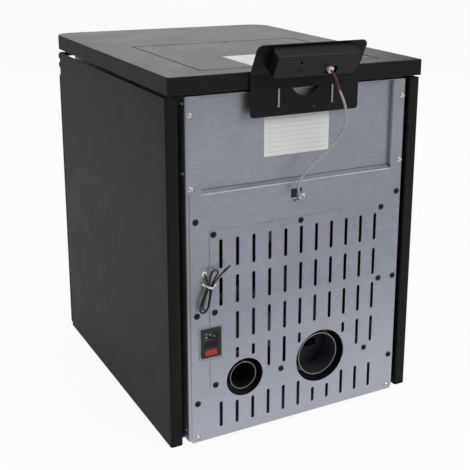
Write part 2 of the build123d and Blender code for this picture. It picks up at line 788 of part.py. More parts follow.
def make_display_housing():
    """Moulded box behind the leaning plate, open for the screen, the keys and a plug."""
    middle = (HOUSING_LOW + HOUSING_TOP) / 2
    tall = HOUSING_TOP - HOUSING_LOW
    outer = Pos(0, middle, -HOUSING_DEPTH / 2) * Box(HOUSING_WIDTH, tall, HOUSING_DEPTH)
    outer = fillet(outer.edges().filter_by(Axis.Z), 5)
    outer = fillet(outer.faces().sort_by(Axis.Z)[0].edges(), 1.5)
    w = HOUSING_WALL
    inner = Box(HOUSING_WIDTH - 2 * w, tall - 2 * w, HOUSING_DEPTH - 2 * w)
    inner = Pos(0, middle, -HOUSING_DEPTH / 2) * inner
    inner = fillet(inner.edges().filter_by(Axis.Z), 3)
    shell = outer - inner
    shell -= Pos(23, 31, -w / 2) * Box(84, 28, w + 1)
    for x, up_slope in KEY_PLACES:
        shell -= Pos(x, up_slope, -w / 2) * Box(13 + 2 * SLIDE_CLEAR, 10 + 2 * SLIDE_CLEAR, w + 1)
    shell -= Pos(-28, 20, -HOUSING_DEPTH) * Box(22, 14, 2 * w + 1)
    header_back = HOUSING_DEPTH - 12.5
    shell += Pos(PLUG_X, PLUG_UP, -(header_back + w / 2) / 2) * Box(9, 10, header_back - w / 2)
    shell -= Pos(32, 38, -HOUSING_DEPTH) * Box(3.4, 5, 2 * w + 1)
    for x in (28.6, 34.3):
        rib = Pos(x, 22.5, -HOUSING_DEPTH - 0.6) * Box(1.6, 5.5, 1.6)
        shell += rib
    return display_plane * shell


def make_display_screen():
    """Clear window with its panel, sitting in the plate just proud of its face."""
    pane = extrude(Pos(23, 31) * RectangleRounded(86.4, 30.4, 1.7), BRACKET_SHEET + 0.8)
    pane = chamfer(pane.faces().sort_by(Axis.Z)[-1].edges(), 0.5)
    behind = Pos(23, 31, -2.5) * Box(82, 26, 5.0)
    return display_plane * (pane + behind)


def make_display_key(index):
    """One push key with a collar that keeps it in the housing."""
    x, up_slope = KEY_PLACES[index]
    cap = Pos(0, 0, -3.4) * extrude(RectangleRounded(13, 10, 1.7), BRACKET_SHEET + 1.6 + 3.4)
    cap = fillet(cap.faces().sort_by(Axis.Z)[-1].edges(), 0.6)
    collar = Pos(0, 0, -HOUSING_WALL - SLIDE_CLEAR - 0.6) * Box(15, 12, 1.2)
    return display_plane * (Pos(x, up_slope, 0) * (cap + collar))


def make_cable_plugs():
    """White plug in the display's back and white clip at the cable's lower cut-out."""
    upper = Pos(PLUG_X, PLUG_UP, -PLUG_FACE + 4.5) * Box(8.5, 9.5, 9)
    upper = fillet(upper.edges().filter_by(Axis.Z), 1)
    stop = Pos(PLUG_X, PLUG_UP, -HOUSING_DEPTH + 8.5) * Box(7, 8, 8)
    x0, x1, z0, z1 = LOWER_PLUG
    lower = box(x0, x1, 0, LOWER_PLUG_FACE, z0, z1)
    lower = fillet(lower.faces().sort_by(Axis.Y)[-1].edges(), 1)
    lower += box(x0 + 4, x1 - 0.5, -8, 0.5, CABLE_CUT[2] + SEAT_CLEAR, z1)
    return Compound(children=[display_plane * (upper + stop), lower])


def corner_radii(points):
    """The largest arc that each corner's two runs leave room for."""
    radii = []
    for a, b, c in zip(points, points[1:], points[2:]):
        run_in = Vector(*b) - Vector(*a)
        run_out = Vector(*c) - Vector(*b)
        turn = radians(run_in.get_angle(run_out))
        radii.append(0.45 * min(run_in.length, run_out.length) / tan(turn / 2))
    return radii


def tube_along(points, diameter, name):
    """A cord's solid: straight runs joined by tangent arcs."""
    radii = corner_radii(points)
    path = FilletPolyline(*points, radius=radii)
    start = Plane(origin=path @ 0, z_dir=path % 0)
    solid = sweep(start * Circle(diameter / 2), path=path)
    expected = pi * diameter**2 / 4 * path.length
    shown = " ".join(f"{r / diameter:.1f}" for r in radii)
    ratio = solid.volume / expected
    print(f"{name}: length {path.length:.1f}, volume ratio {ratio:.4f}, radii in diameters {shown}")
    return solid


def hank_place(across, along, depth):
    """A point of the hank, given across it, along it and out from the panel."""
    tilt = radians(HANK_TILT)
    x = HANK_TIE[0] + across * cos(tilt) - along * sin(tilt)
    z = HANK_TIE[1] + across * sin(tilt) + along * cos(tilt)
    return Vector(x, HANK_Y + depth, z)


def hank_loop_point(turn):
    """The hank's line at a number of turns, counted from the tie on the outer side."""
    loop = min(int(turn), 1)
    angle = 2 * pi * turn
    wave = sin(angle)
    down = HANK_DOWN[loop] if wave > 0 else HANK_UP
    along = -down * wave
    fullness = wave * wave
    lobe = HANK_LOBE[loop] if wave > 0 else HANK_UPPER_LOBE
    across = cos(angle) * (PROBE_WAIST + (2.2 * lobe - PROBE_WAIST) * fullness)
    if wave < 0:
        across -= HANK_UPPER_LEAN * fullness
    return hank_place(across, along, PROBE_STEP * turn)


def hank_line():
    """Points and tangents along the cord from the grommet, round the loops, to the sleeve."""
    step = 1 / 12
    turns = [i * step for i in range(0, 19)]
    points = [hank_loop_point(t) for t in turns]
    tangents = [(hank_loop_point(t + 0.004) - hank_loop_point(t - 0.004)).normalized() for t in turns]
    tangents[0] = (hank_loop_point(0.008) - hank_loop_point(0.0)).normalized()
    lead = [Vector(GROMMET_X, 2.6, GROMMET_Z), Vector(GROMMET_X, 3.6, GROMMET_Z)]
    lead_dirs = [Vector(0, 1, 0), Vector(0, 1, 0)]
    lead.append(Vector(181.2, 6.4, 300.8))
    lead_dirs.append(Vector(-0.3, -0.08, -1).normalized())
    tail = [
        Vector(164.0, HANK_Y + 7.4, 298.6),
        Vector(157.5, HANK_Y + 7.2, 304.3),
        Vector(153.4, HANK_Y + 6.9, 307.1),
    ]
    tail_dirs = [
        Vector(-0.62, -0.05, 0.78).normalized(),
        Vector(-0.82, -0.06, 0.57).normalized(),
        Vector(-0.82, -0.06, 0.57).normalized(),
    ]
    return lead + points + tail, lead_dirs + tangents + tail_dirs


def arc_edge(start, heading, end):
    """A circular arc that leaves start along heading and reaches end."""
    chord = end - start
    along = chord.normalized()
    bend = heading - along * heading.dot(along)
    if bend.length < 1e-6:
        return Line(start, end)
    half_turn = radians(heading.get_angle(chord))
    rise = chord.length / 2 * tan(half_turn / 2)
    return ThreePointArc(start, (start + end) / 2 + bend.normalized() * rise, end)


def biarc(p0, t0, p1, t1):
    """Two arcs between points, tangent to both headings and to each other."""
    v = p1 - p0
    total = t0 + t1
    slack = 2 * (1 - t0.dot(t1))
    if slack < 1e-9:
        reach = v.dot(v) / (2 * v.dot(total))
    else:
        reach = (-v.dot(total) + sqrt(v.dot(total) ** 2 + slack * v.dot(v))) / slack
    joint = (p0 + p1 + (t0 - t1) * reach) / 2
    middle = (joint - p0 - t0 * reach).normalized()
    return [arc_edge(p0, t0, joint), arc_edge(joint, middle, p1)]


def make_probe_cord():
    points, headings = hank_line()
    edges = []
    for i in range(len(points) - 1):
        edges += biarc(points[i], headings[i], points[i + 1], headings[i + 1])
    path = Wire([e.edge() if hasattr(e, "edge") else e for e in edges])
    start = Plane(origin=points[0], z_dir=headings[0])
    cord = sweep(start * Circle(PROBE_D / 2), path=path)
    samples = []
    run = 0.0
    for e in edges:
        for k in range(6):
            samples.append((run + e.length * k / 6, e @ (k / 6)))
        run += e.length
    gap = min(
        (b - a).length for i, (s, a) in enumerate(samples) for t, b in samples[i:] if t - s > 4 * PROBE_D
    )
    ratio = cord.volume / (pi * PROBE_D**2 / 4 * run)
    clear = gap - PROBE_D
    print(f"probe cord: length {run:.1f}, least gap to itself {clear:.2f}, volume ratio {ratio:.4f}")
    return cord, points[-1], headings[-1]


def make_probe_tip(end, heading):
    """Sensor sleeve on the cord's end with a thinner closed tip."""
    plane = Plane(origin=end, z_dir=heading)
    sleeve = Pos(0, 0, 4.5) * Cylinder(2.0, 9) + Pos(0, 0, 12) * Cylinder(1.5, 6)
    bulb = Pos(0, 0, 15) * Sphere(1.8)
    return plane * (sleeve + bulb)


def make_grommet():
    ring = Cylinder(4.7, 2.6) + Pos(0, 0, -3.0) * Cylinder(GROMMET_HOLE_R - 0.05, 4)
    ring = fillet(ring.faces().sort_by(Axis.Z)[-1].edges(), 1.1)
    ring -= Pos(0, 0, 0) * Cylinder(PROBE_D / 2 + 0.05, 12)
    plug = Pos(0, 0, -2.0) * Cylinder(PROBE_D / 2 + 0.2, 6.6)
    seat = Pos(GROMMET_X, 1.3, GROMMET_Z) * Rot(-90, 0, 0)
    return seat * (ring + plug)


def make_cable_tie():
    """Twist tie: a flat band round the waist of the hank with two loose ends."""
    half_w = PROBE_WAIST + PROBE_D / 2 + 0.4
    depth = 1.5 * PROBE_STEP
    plane = Plane(
        origin=hank_place(0, -3.0, depth / 2), x_dir=(cos(radians(HANK_TILT)), 0, sin(radians(HANK_TILT))),
        z_dir=(-sin(radians(HANK_TILT)), 0, cos(radians(HANK_TILT))),
    )
    half_d = depth / 2 + PROBE_D / 2 + 0.9
    band = RectangleRounded(2 * half_w + 1.8, 2 * half_d + 1.8, 3.2)
    band -= RectangleRounded(2 * half_w, 2 * half_d, 2.3)
    tie = Pos(0, 0, -1.6) * extrude(band, 3.2)
    for side, drop in ((1, -30), (-1, 38)):
        tail = Pos(side * (half_w + 4.8), -half_d + 1.0, 0) * Rot(0, drop, 0) * Box(9.5, 0.9, 3.0)
        tie += tail
    return plane * tie


# Auger and its drive

def make_auger_tube():
    length = AUGER_HIGH - AUGER_LOW
    middle = (AUGER_HIGH + AUGER_LOW) / 2
    tube = Pos(0, 0, middle) * (Cylinder(AUGER_TUBE_R, length))
    tube -= Pos(0, 0, middle + 2) * Cylinder(AUGER_TUBE_R - AUGER_TUBE_WALL, length)
    tube -= Pos(0, 0, AUGER_LOW) * Cylinder(AUGER_SHAFT_R + SLIDE_CLEAR, 12)
    tube = auger_plane * tube
    inlet = box(-26, 26, AUGER_Y - 33, AUGER_Y + 33, 225, 380)
    upper = auger_plane * box(-60, 60, 0, 60, AUGER_LOW, AUGER_HIGH)
    return tube - (inlet & upper)


def make_auger_screw():
    """Screw with one helical flight, its shaft running through to the gearbox."""
    low = AUGER_LOW + 8
    high = AUGER_HIGH - 20
    shaft = Pos(0, 0, (AUGER_LOW - 20 + high) / 2) * Cylinder(AUGER_SHAFT_R, high - AUGER_LOW + 20)
    turns = (high - low - 10) / FLIGHT_PITCH
    middle_r = (FLIGHT_R + AUGER_SHAFT_R - 1) / 2
    path = Helix(pitch=FLIGHT_PITCH, height=FLIGHT_PITCH * turns, radius=middle_r)
    wide = FLIGHT_R - AUGER_SHAFT_R + 1
    profile = Plane(origin=path @ 0, x_dir=(1, 0, 0), z_dir=path % 0) * Rectangle(wide, 3.0)
    flight = sweep(profile, path=path, is_frenet=True)
    return auger_plane * (shaft + Pos(0, 0, low) * flight)


def make_gearmotor():
    """Gearbox and motor on the low end of the auger tube."""
    base = AUGER_LOW
    gearbox = Pos(0, 0, base - GEARBOX_LONG / 2) * Box(50, 42, GEARBOX_LONG)
    gearbox = fillet(gearbox.edges().filter_by(Axis.Z), 4)
    gearbox -= Pos(0, 0, base - 9) * Cylinder(AUGER_SHAFT_R + 0.6, 23)
    motor_base = base - GEARBOX_LONG
    motor = Pos(0, 0, motor_base - 16) * Cylinder(20, 34)
    for i in range(3):
        motor += Pos(0, 0, motor_base - 8 - 9 * i) * Cylinder(21, 4)
    return auger_plane * (gearbox + motor)


# Exhaust and air

def make_exhaust_housing():
    """Cast scroll and elbow between the smoke outlet of the firebox and the flue spigot."""
    dx, dz = BLOWER_X - FLUE_X, BLOWER_Z - FLUE_Z
    run = hypot(dx, dz)
    angle = -degrees(acos(dx / run))
    flue_face = FLUE_REAR - FLUE_LENGTH

    def solid(inset):
        scroll = rod_y(BLOWER_FRONT + inset, BLOWER_REAR - inset, BLOWER_X, BLOWER_Z, BLOWER_R - inset)
        elbow = rod_y(BLOWER_FRONT + inset, flue_face - inset, FLUE_X, FLUE_Z, 47 - inset)
        depth = BLOWER_REAR - BLOWER_FRONT - 2 * inset
        middle_y = (BLOWER_FRONT + BLOWER_REAR) / 2
        duct = Pos((BLOWER_X + FLUE_X) / 2, middle_y, (BLOWER_Z + FLUE_Z) / 2)
        duct = duct * Rot(0, angle, 0) * Box(run, depth, 60 - 2 * inset)
        return scroll + elbow + duct

    housing = solid(0) - solid(BLOWER_WALL)
    housing -= rod_y(flue_face - 10, flue_face + 1, FLUE_X, FLUE_Z, FLUE_R - FLUE_WALL)
    inlet = rod_y(FIREBOX_REAR, BLOWER_FRONT, BLOWER_X, BLOWER_Z, 28)
    housing += inlet
    housing -= rod_y(FIREBOX_REAR - 1, BLOWER_FRONT + 5, BLOWER_X, BLOWER_Z, 26)
    housing -= rod_y(BLOWER_REAR - 5, BLOWER_REAR + 1, BLOWER_X, BLOWER_Z, 5)
    baffle = rod_y(BAFFLE_Y - BLOWER_WALL + 1, BAFFLE_Y, FLUE_X, FLUE_Z, 45)
    baffle -= box(-72.4, -48, BAFFLE_Y - 5, BAFFLE_Y + 1, 96, 110)
    baffle += box(-84.4, -82.2, BAFFLE_Y - 1, BAFFLE_Y + 1.2, 95, 106)
    baffle += rod_y(BAFFLE_Y - 1, BAFFLE_Y + 1.6, -63, 85, 1.8)
    housing += baffle
    for turn in range(3):
        a = radians(90 + 120 * turn)
        x, z = FLUE_X + 43.5 * cos(a), FLUE_Z + 43.5 * sin(a)
        housing += rod_y(flue_face - 1, flue_face + 4, x, z, 2.8)
    return housing


def make_impeller():
    """Radial wheel on the exhaust motor's shaft."""
    back = BLOWER_REAR - BLOWER_WALL - 6
    wheel = rod_y(back - 2, back, BLOWER_X, BLOWER_Z, 44)
    for i in range(8):
        blade = Pos(26, 0, 0) * Box(34, 26, 2)
        wheel += Pos(BLOWER_X, back - 15, BLOWER_Z) * Rot(0, 45 * i, 0) * blade
    wheel += rod_y(back - 24, BLOWER_REAR + 2, BLOWER_X, BLOWER_Z, 4)
    wheel += rod_y(back - 24, back, BLOWER_X, BLOWER_Z, 11)
    return wheel


def make_exhaust_motor():
    """Shaded-pole motor bolted to the scroll, with its core, coil and cooling disc."""
    front = BLOWER_REAR
    motor = rod_y(front, front + 40, BLOWER_X, BLOWER_Z, 24)
    motor += box(BLOWER_X - 30, BLOWER_X + 30, front + 10, front + 30, BLOWER_Z - 28, BLOWER_Z + 28)
    motor += rod_y(front, front + 4, BLOWER_X, BLOWER_Z, 32)
    motor -= rod_y(front - 1, front + 12, BLOWER_X, BLOWER_Z, 5)
    return motor


def make_flue_spigot():
    """Flue spigot with a rolled rim and a flange on the elbow."""
    y0 = FLUE_REAR - FLUE_LENGTH
    pipe = pipe_y(y0, FLUE_REAR, FLUE_X, FLUE_Z, FLUE_R, FLUE_WALL)
    flange = pipe_y(y0, y0 + 2, FLUE_X, FLUE_Z, 47, 47 - FLUE_R + 1)
    for turn in range(3):
        a = radians(90 + 120 * turn)
        flange -= rod_y(y0 - 1, y0 + 3, FLUE_X + 43.5 * cos(a), FLUE_Z + 43.5 * sin(a), 2.9)
    return pipe + flange


def make_intake_duct():
    """Combustion air pipe: rear spigot, stop collar, long pipe and air box behind the firebox."""
    y0 = INTAKE_REAR - INTAKE_LENGTH
    wall = INTAKE_WALL
    duct = rod_y(y0, INTAKE_REAR, INTAKE_X, INTAKE_Z, INTAKE_R)
    duct += rod_y(y0 - 3, y0, INTAKE_X, INTAKE_Z, INTAKE_R + 3)
    box_rear = FIREBOX_REAR + 45
    duct += rod_y(box_rear - 1, y0 - 2, INTAKE_X, INTAKE_Z, INTAKE_R - 3)
    duct += box(-35, 137, FIREBOX_REAR, box_rear, 70, 132)
    duct -= box(-35 + wall, 137 - wall, FIREBOX_REAR + wall, box_rear - wall, 70 + wall, 132 - wall)
    duct -= box(-30, 30, FIREBOX_REAR - 1, FIREBOX_REAR + 3, 100, 126)
    duct -= rod_y(y0 + 1, INTAKE_REAR + 1, INTAKE_X, INTAKE_Z, INTAKE_R - wall)
    duct -= rod_y(box_rear - 3, INTAKE_REAR + 1, INTAKE_X, INTAKE_Z, INTAKE_R - 3 - wall)
    return duct


def make_fan_housing():
    """Room-air scroll on a foot, open upwards, with the fan's inlet at its left side."""
    x0, x1 = FAN_X - FAN_WIDTH / 2, FAN_X + FAN_WIDTH / 2
    wall = 1.5
    outer = rod_x(x0, x1, FAN_Y, FAN_Z, FAN_R)
    outer += box(x0, x1, FAN_Y - FAN_R, FAN_Y - 10, FAN_Z, FAN_Z + FAN_R + 12)
    inner = rod_x(x0 + wall, x1 - wall, FAN_Y, FAN_Z, FAN_R - wall)
    inner += box(x0 + wall, x1 - wall, FAN_Y - FAN_R + wall, FAN_Y - 10 - wall, FAN_Z, FAN_Z + FAN_R + 13)
    housing = outer - inner
    housing -= rod_x(x0 - 1, x0 + 3, FAN_Y, FAN_Z, 44)
    housing -= rod_x(x1 - 3, x1 + 1, FAN_Y, FAN_Z, 5)
    foot = box(x0, x1, FAN_Y - 35, FAN_Y + 35, tray_top, tray_top + 2)
    for y in (FAN_Y - 34, FAN_Y + 32):
        foot += box(x0, x1, y, y + 2, tray_top, FAN_Z - 40)
    foot -= rod_x(x0 - 1, x1 + 1, FAN_Y, FAN_Z, FAN_R - 0.5)
    return housing + foot


def make_fan_wheel():
    """Drum wheel with forward blades between two rings."""
    x0 = FAN_X - FAN_WIDTH / 2 + 6
    x1 = FAN_X + FAN_WIDTH / 2 - 6
    r = FAN_R - 12
    wheel = rod_x(x1 - 2, x1, FAN_Y, FAN_Z, r)
    ring = rod_x(x0, x0 + 2, FAN_Y, FAN_Z, r) - rod_x(x0 - 1, x0 + 3, FAN_Y, FAN_Z, r - 12)
    wheel += ring
    count = 18
    for i in range(count):
        blade = Pos((x0 + x1) / 2, FAN_Y, FAN_Z) * Rot(360 / count * i, 0, 0)
        wheel += blade * Pos(0, 0, r - 6.5) * Rot(35, 0, 0) * Box(x1 - x0 - 1, 1.2, 11)
    wheel += rod_x(x1 - 24, x1 + 14, FAN_Y, FAN_Z, 4)
    wheel += rod_x(x1 - 24, x1, FAN_Y, FAN_Z, 10)
    return wheel


def make_fan_motor():
    x = FAN_X + FAN_WIDTH / 2
    motor = rod_x(x, x + 46, FAN_Y, FAN_Z, 34)
    motor += box(x + 12, x + 32, FAN_Y - 38, FAN_Y + 38, FAN_Z - 34, FAN_Z + 34)
    motor -= rod_x(x - 1, x + 20, FAN_Y, FAN_Z, 5)
    return motor


# Firebox

def tube_x(index):
    return (index - (TUBE_COUNT - 1) / 2) * TUBE_PITCH


def make_firebox():
    """Welded firebox, open to the front, with the burn pot's holder and the ash opening."""
    half = FIREBOX_WIDTH / 2
    front = CHASSIS_FRONT
    s = FIREBOX_SHEET
    shell = box(-half, half, front, FIREBOX_REAR, FIREBOX_LOW, FIREBOX_TOP)
    shell -= box(-half + s, half - s, front - 1, FIREBOX_REAR - s, FIREBOX_LOW + s, FIREBOX_TOP - s)
    holder_half = HOLDER_WIDTH / 2
    holder_front = POT_Y - POT_DEPTH / 2 - 13
    holder = box(-holder_half, holder_half, holder_front, FIREBOX_REAR - s, FIREBOX_LOW, HOLDER_TOP)
    holder -= box(
        -holder_half + s,
        holder_half - s,
        holder_front + s,
        FIREBOX_REAR - s + 1,
        FIREBOX_LOW + s,
        HOLDER_TOP - s,
    )
    shell += holder
    pw, pd = POT_WIDTH / 2 + POT_GAP, POT_DEPTH / 2 + POT_GAP
    shell -= box(-pw, pw, POT_Y - pd, POT_Y + pd, HOLDER_TOP - s - 1, HOLDER_TOP + 1)
    shell -= box(-half + 25, half - 25, front + 16, holder_front - 4, FIREBOX_LOW - 1, FIREBOX_LOW + s + 1)
    shell -= auger_plane * (Pos(0, 0, 250) * Cylinder(AUGER_TUBE_R + SEAT_CLEAR, 120))
    shell -= rod_y(FIREBOX_REAR - s - 1, FIREBOX_REAR + 1, BLOWER_X, BLOWER_Z, 26)
    shell -= box(-30, 30, FIREBOX_REAR - s - 1, FIREBOX_REAR + 1, 100, 126)
    shell -= rod_y(FIREBOX_REAR - s - 1, FIREBOX_REAR + 1, 0, IGNITER_Z, IGNITER_R + SCREW_CLEAR)
    for i in range(TUBE_COUNT):
        shell -= rod_y(FIREBOX_REAR - s - 1, FIREBOX_REAR + 1, tube_x(i), TUBE_Z, TUBE_R + SCREW_CLEAR)
    return shell


def make_liner():
    """Ribbed refractory plate on the firebox's rear wall, open for the chute and the smoke outlet."""
    rear = FIREBOX_REAR - FIREBOX_SHEET
    half = FIREBOX_WIDTH / 2 - FIREBOX_SHEET - 1
    low = HOLDER_TOP + SEAT_CLEAR
    liner = box(-half, half, rear - LINER_THICK, rear, low, TUBE_Z - TUBE_R - 6)
    for i in range(-6, 7):
        x = i * 22
        liner -= box(x - 2, x + 2, rear - LINER_THICK - 1, rear - LINER_THICK + 3, low + 20, TUBE_Z - 60)
    liner -= auger_plane * (Pos(0, 0, 260) * Cylinder(AUGER_TUBE_R + 1.5, 120))
    return liner - rod_y(rear - 30, rear + 1, BLOWER_X, BLOWER_Z, 27)


def make_burn_pot():
    """Cast pot with an air-holed floor and sides, hung by its rim in the holder."""
    w, d = POT_WIDTH / 2, POT_DEPTH / 2
    pot = box(-w, w, POT_Y - d, POT_Y + d, POT_LOW, POT_TOP)
    pot = fillet(pot.edges().filter_by(Axis.Z), 6)
    t = POT_WALL
    cavity = box(-w + t, w - t, POT_Y - d + t, POT_Y + d - t, POT_LOW + t, POT_TOP + 1)
    pot -= fillet(cavity.edges().filter_by(Axis.Z), 3)
    rim = box(-w - 6, w + 6, POT_Y - d - 6, POT_Y + d + 6, HOLDER_TOP + SEAT_CLEAR, HOLDER_TOP + 4)
    pot += rim - box(-w + 1, w - 1, POT_Y - d + 1, POT_Y + d - 1, HOLDER_TOP - 1, HOLDER_TOP + 6)
    for i in range(-2, 3):
        for j in range(-2, 3):
            pot -= rod_z(POT_LOW - 1, POT_LOW + t + 1, 14 * i, POT_Y + 14 * j, 2.5)
    for i in range(-2, 3):
        pot -= rod_y(POT_Y - d - 1, POT_Y + d + 1, 14 * i, 166, 2.0)
    pot -= rod_y(POT_Y, POT_Y + d + 1, 0, IGNITER_Z, 6.5)
    return pot


def make_heat_tubes():
    tubes = []
    for i in range(TUBE_COUNT):
        tubes.append(pipe_y(CHASSIS_FRONT - 1.5, FIREBOX_REAR + 4, tube_x(i), TUBE_Z, TUBE_R, 1.5))
    return Compound(children=tubes)


def make_igniter():
    """Ceramic rod in a flanged steel sleeve, aimed at the burn pot."""
    rod = rod_y(FIREBOX_REAR - 52, FIREBOX_REAR + 30, 0, IGNITER_Z, 3.5)
    rod += rod_y(FIREBOX_REAR - 8, FIREBOX_REAR + 22, 0, IGNITER_Z, IGNITER_R)
    rod += rod_y(FIREBOX_REAR, FIREBOX_REAR + 3, 0, IGNITER_Z + 5, 11) - box(-20, 20, -400, -300, 100, 132.2)
    return rod


# Front

def front_profile(corner_in, rear):
    """Centre line of a front piece in plan: straight face, round corners, short returns."""
    half = DOOR_WIDTH / 2 - corner_in
    front = DOOR_FRONT + corner_in
    return [(-half, rear), (-half, front), (half, front), (half, rear)]


def front_skin(z0, z1):
    inset = DOOR_SHEET / 2
    return fold(front_profile(inset, DOOR_REAR), DOOR_CORNER - inset, DOOR_SHEET, z0, z1)


def front_fill(inset, z0, z1):
    half = DOOR_WIDTH / 2 - inset
    block = box(-half, half, DOOR_FRONT + inset, DOOR_REAR, z0, z1)
    posts = block.edges().filter_by(Axis.Z).sort_by(Axis.Y)[:2]
    return fillet(posts, DOOR_CORNER - inset)


def make_front_frame():
    """Plate behind the door with the firebox window, drawer opening and a latch striker."""
    t = 1.5
    half = FIRE_WINDOW_WIDTH / 2
    outline = area(-chassis_x, chassis_x, tray_top, CHASSIS_TOP, 1)
    outline += area(-side_x + 4, side_x - 4, DOOR_LOW - 8, DOOR_TOP + 8)
    outline -= area(-half, half, FIRE_WINDOW_LOW, FIRE_WINDOW_TOP, 8)
    outline -= area(-PAN_WIDTH / 2 - 4, PAN_WIDTH / 2 + 4, DRAWER_LOW + 4, DRAWER_TOP - 2)
    outline -= area(-190, 190, 560, 592, 4)
    for i in range(TUBE_COUNT):
        outline -= disc(tube_x(i), TUBE_Z, TUBE_R + SCREW_CLEAR)
    frame = upright(CHASSIS_FRONT, outline, t)
    striker = box(224, 230, -571, CHASSIS_FRONT - t, HANDLE_Z - 14, HANDLE_Z + 14)
    striker -= box(223, 231, -566, CHASSIS_FRONT - t - 3, HANDLE_Z - 9, HANDLE_Z + 9)
    return frame + striker


def make_louvre():
    """Two wrapped slats on three uprights below the top plate's front edge."""
    louvre = None
    for drop in SLAT_DROPS:
        z = side_top - drop
        slat = front_skin(z - SLAT_HEIGHT / 2, z + SLAT_HEIGHT / 2)
        louvre = slat if louvre is None else louvre + slat
    for x in (-190, 0, 190):
        louvre += box(x - 3, x + 3, DOOR_FRONT + 1, CHASSIS_FRONT - 1.5, side_top - 33, side_top - 4)
    return louvre


def make_door_skin():
    """Full-width door shell with wrapped corners, closed top and bottom, with a window."""
    skin = front_skin(DOOR_LOW, DOOR_TOP)
    for z in (DOOR_LOW, DOOR_TOP - DOOR_SHEET):
        skin += front_fill(1, z, z + DOOR_SHEET)
    window = upright(DOOR_FRONT + 5, area(-150, 150, 195, 465, 12), 12)
    skin -= window
    skin -= rod_z(DOOR_LOW - 1, DOOR_TOP + 1, HINGE_X, HINGE_Y, HINGE_PIN_R + PIVOT_CLEAR)
    return skin - rod_y(DOOR_FRONT - 1, DOOR_FRONT + 6, HANDLE_X, HANDLE_Z, 6 + SLIDE_CLEAR)


def make_door_frame():
    """Inner cast frame of the door, with the seat for the glass and a groove for the rope."""
    y0 = glass_front - 2.0
    y1 = DOOR_REAR
    half = 178
    frame = box(-half, half, y0, y1, 118, 520)
    frame -= box(-half + 8, half - 8, y0 - 1, y1 - 8, 126, 512)
    frame = fillet(frame.edges().filter_by(Axis.Y).sort_by(Axis.Z)[:2], 6)
    frame += box(-168, 168, glass_front + GLASS_THICK + SEAT_CLEAR, y1, 180, 480)
    frame -= box(-134, 134, y0 - 1, y1 + 1, 190, 468)
    for z in (136, 500):
        for x in (-150, 150):
            frame += rod_y(DOOR_FRONT + DOOR_SHEET, y1 - 4, x, z, 6)
    frame -= rope_loop(7.0)
    return frame


def rope_path_box(grow):
    return (-143 - grow, 143 + grow, 151 - grow, 477 + grow)


def rope_loop(width):
    """Ring of the rope's groove, width across, centred on the seal line."""
    outer = area(*rope_path_box(width / 2), 10 + width / 2)
    inner = area(*rope_path_box(-width / 2), 10 - width / 2)
    return upright(DOOR_REAR + 1, outer - inner, 4)


def make_door_rope():
    """Glass-fibre rope seal set in its groove, just clear of the firebox frame."""
    outer = area(*rope_path_box(3.2), 13.2)
    inner = area(*rope_path_box(-3.2), 6.8)
    rear = CHASSIS_FRONT - 1.5 - SEAT_CLEAR
    rope = upright(rear, outer - inner, rear - DOOR_REAR + 2.8)
    return fillet(rope.faces().sort_by(Axis.Y)[-1].edges(), 2.0)


def make_door_glass():
    glass = upright(glass_front + GLASS_THICK, area(-160, 160, 182, 476, 3), GLASS_THICK)
    return chamfer(glass.faces().sort_by(Axis.Y)[0].edges(), 0.8)


def make_door_hinges():
    """Two hinge plates on the front frame, each with a fixed pin."""
    hinges = []
    for z0, pin in ((DOOR_LOW - SEAT_CLEAR - HINGE_PLATE, 12), (DOOR_TOP + 0.8, -12)):
        plate = box(HINGE_X - 8.4, HINGE_X + 12, HINGE_Y - 9, CHASSIS_FRONT - 1.5, z0, z0 + HINGE_PLATE)
        ends = sorted((z0 + (HINGE_PLATE if pin < 0 else 0), z0 + pin))
        plate += rod_z(ends[0], ends[1], HINGE_X, HINGE_Y, HINGE_PIN_R)
        hinges.append(plate)
    return Compound(children=hinges)


def make_door_handle():
    """Lever handle on a spindle, with the latch cam behind the skin."""
    x, z = HANDLE_X, HANDLE_Z
    handle = rod_y(handle_front + 4, -572, x, z, 6)
    grip = box(x - 9, x + 9, handle_front, handle_front + 8, z - 110, z + 12)
    grip = fillet(grip.edges().filter_by(Axis.Y), 8)
    grip = fillet(grip.faces().sort_by(Axis.Y)[0].edges(), 2.5)
    handle += grip
    handle += rod_y(DOOR_FRONT - SLIDE_CLEAR - 3, DOOR_FRONT - SLIDE_CLEAR, x, z, 11)
    handle += box(x - 4, x + 14, -575, -572, z - 5, z + 5)
    return handle


def make_ash_drawer():
    """Drawer with a front that matches the door and a welded pan behind it."""
    drawer = front_skin(DRAWER_LOW, DRAWER_TOP)
    drawer += front_fill(1, DRAWER_LOW, DRAWER_LOW + DOOR_SHEET)
    drawer -= box(-45, 45, DOOR_FRONT - 1, DOOR_FRONT + 4, DRAWER_TOP - 16, DRAWER_TOP + 1)
    half = PAN_WIDTH / 2
    low = DRAWER_LOW + 6
    wall = 1.2
    pan = box(-half, half, DOOR_FRONT + 9, PAN_REAR, low, DRAWER_TOP - 8)
    pan -= box(-half + wall, half - wall, DOOR_FRONT + 9 + wall, PAN_REAR - wall, low + wall, DRAWER_TOP)
    drawer += pan
    for x in (-100, 100):
        drawer += box(x - 8, x + 8, DOOR_FRONT + 1, DOOR_FRONT + 9.5, 20, 60)
    return drawer


# Electronics on the chassis

def make_control_board():
    """Board on stand-offs on the right chassis side, with relays, a transformer and terminals."""
    face = chassis_x - CHASSIS_SHEET
    board_x = face - 10
    board = box(board_x - 1.6, board_x, -290, -130, 250, 400)
    for y in (-284, -136):
        for z in (256, 394):
            board += rod_x(board_x - 0.1, face, y, z, 3)
    relay = board_x - 1.6
    for i in range(4):
        board += box(relay - 15, relay, -280 + 24 * i, -262 + 24 * i, 262, 292)
    board += box(relay - 28, relay, -180, -140, 262, 305)
    for i in range(6):
        board += box(relay - 11, relay, -284 + 24 * i, -266 + 24 * i, 378, 392)
    board += box(relay - 4, relay, -260, -225, 325, 355)
    return board


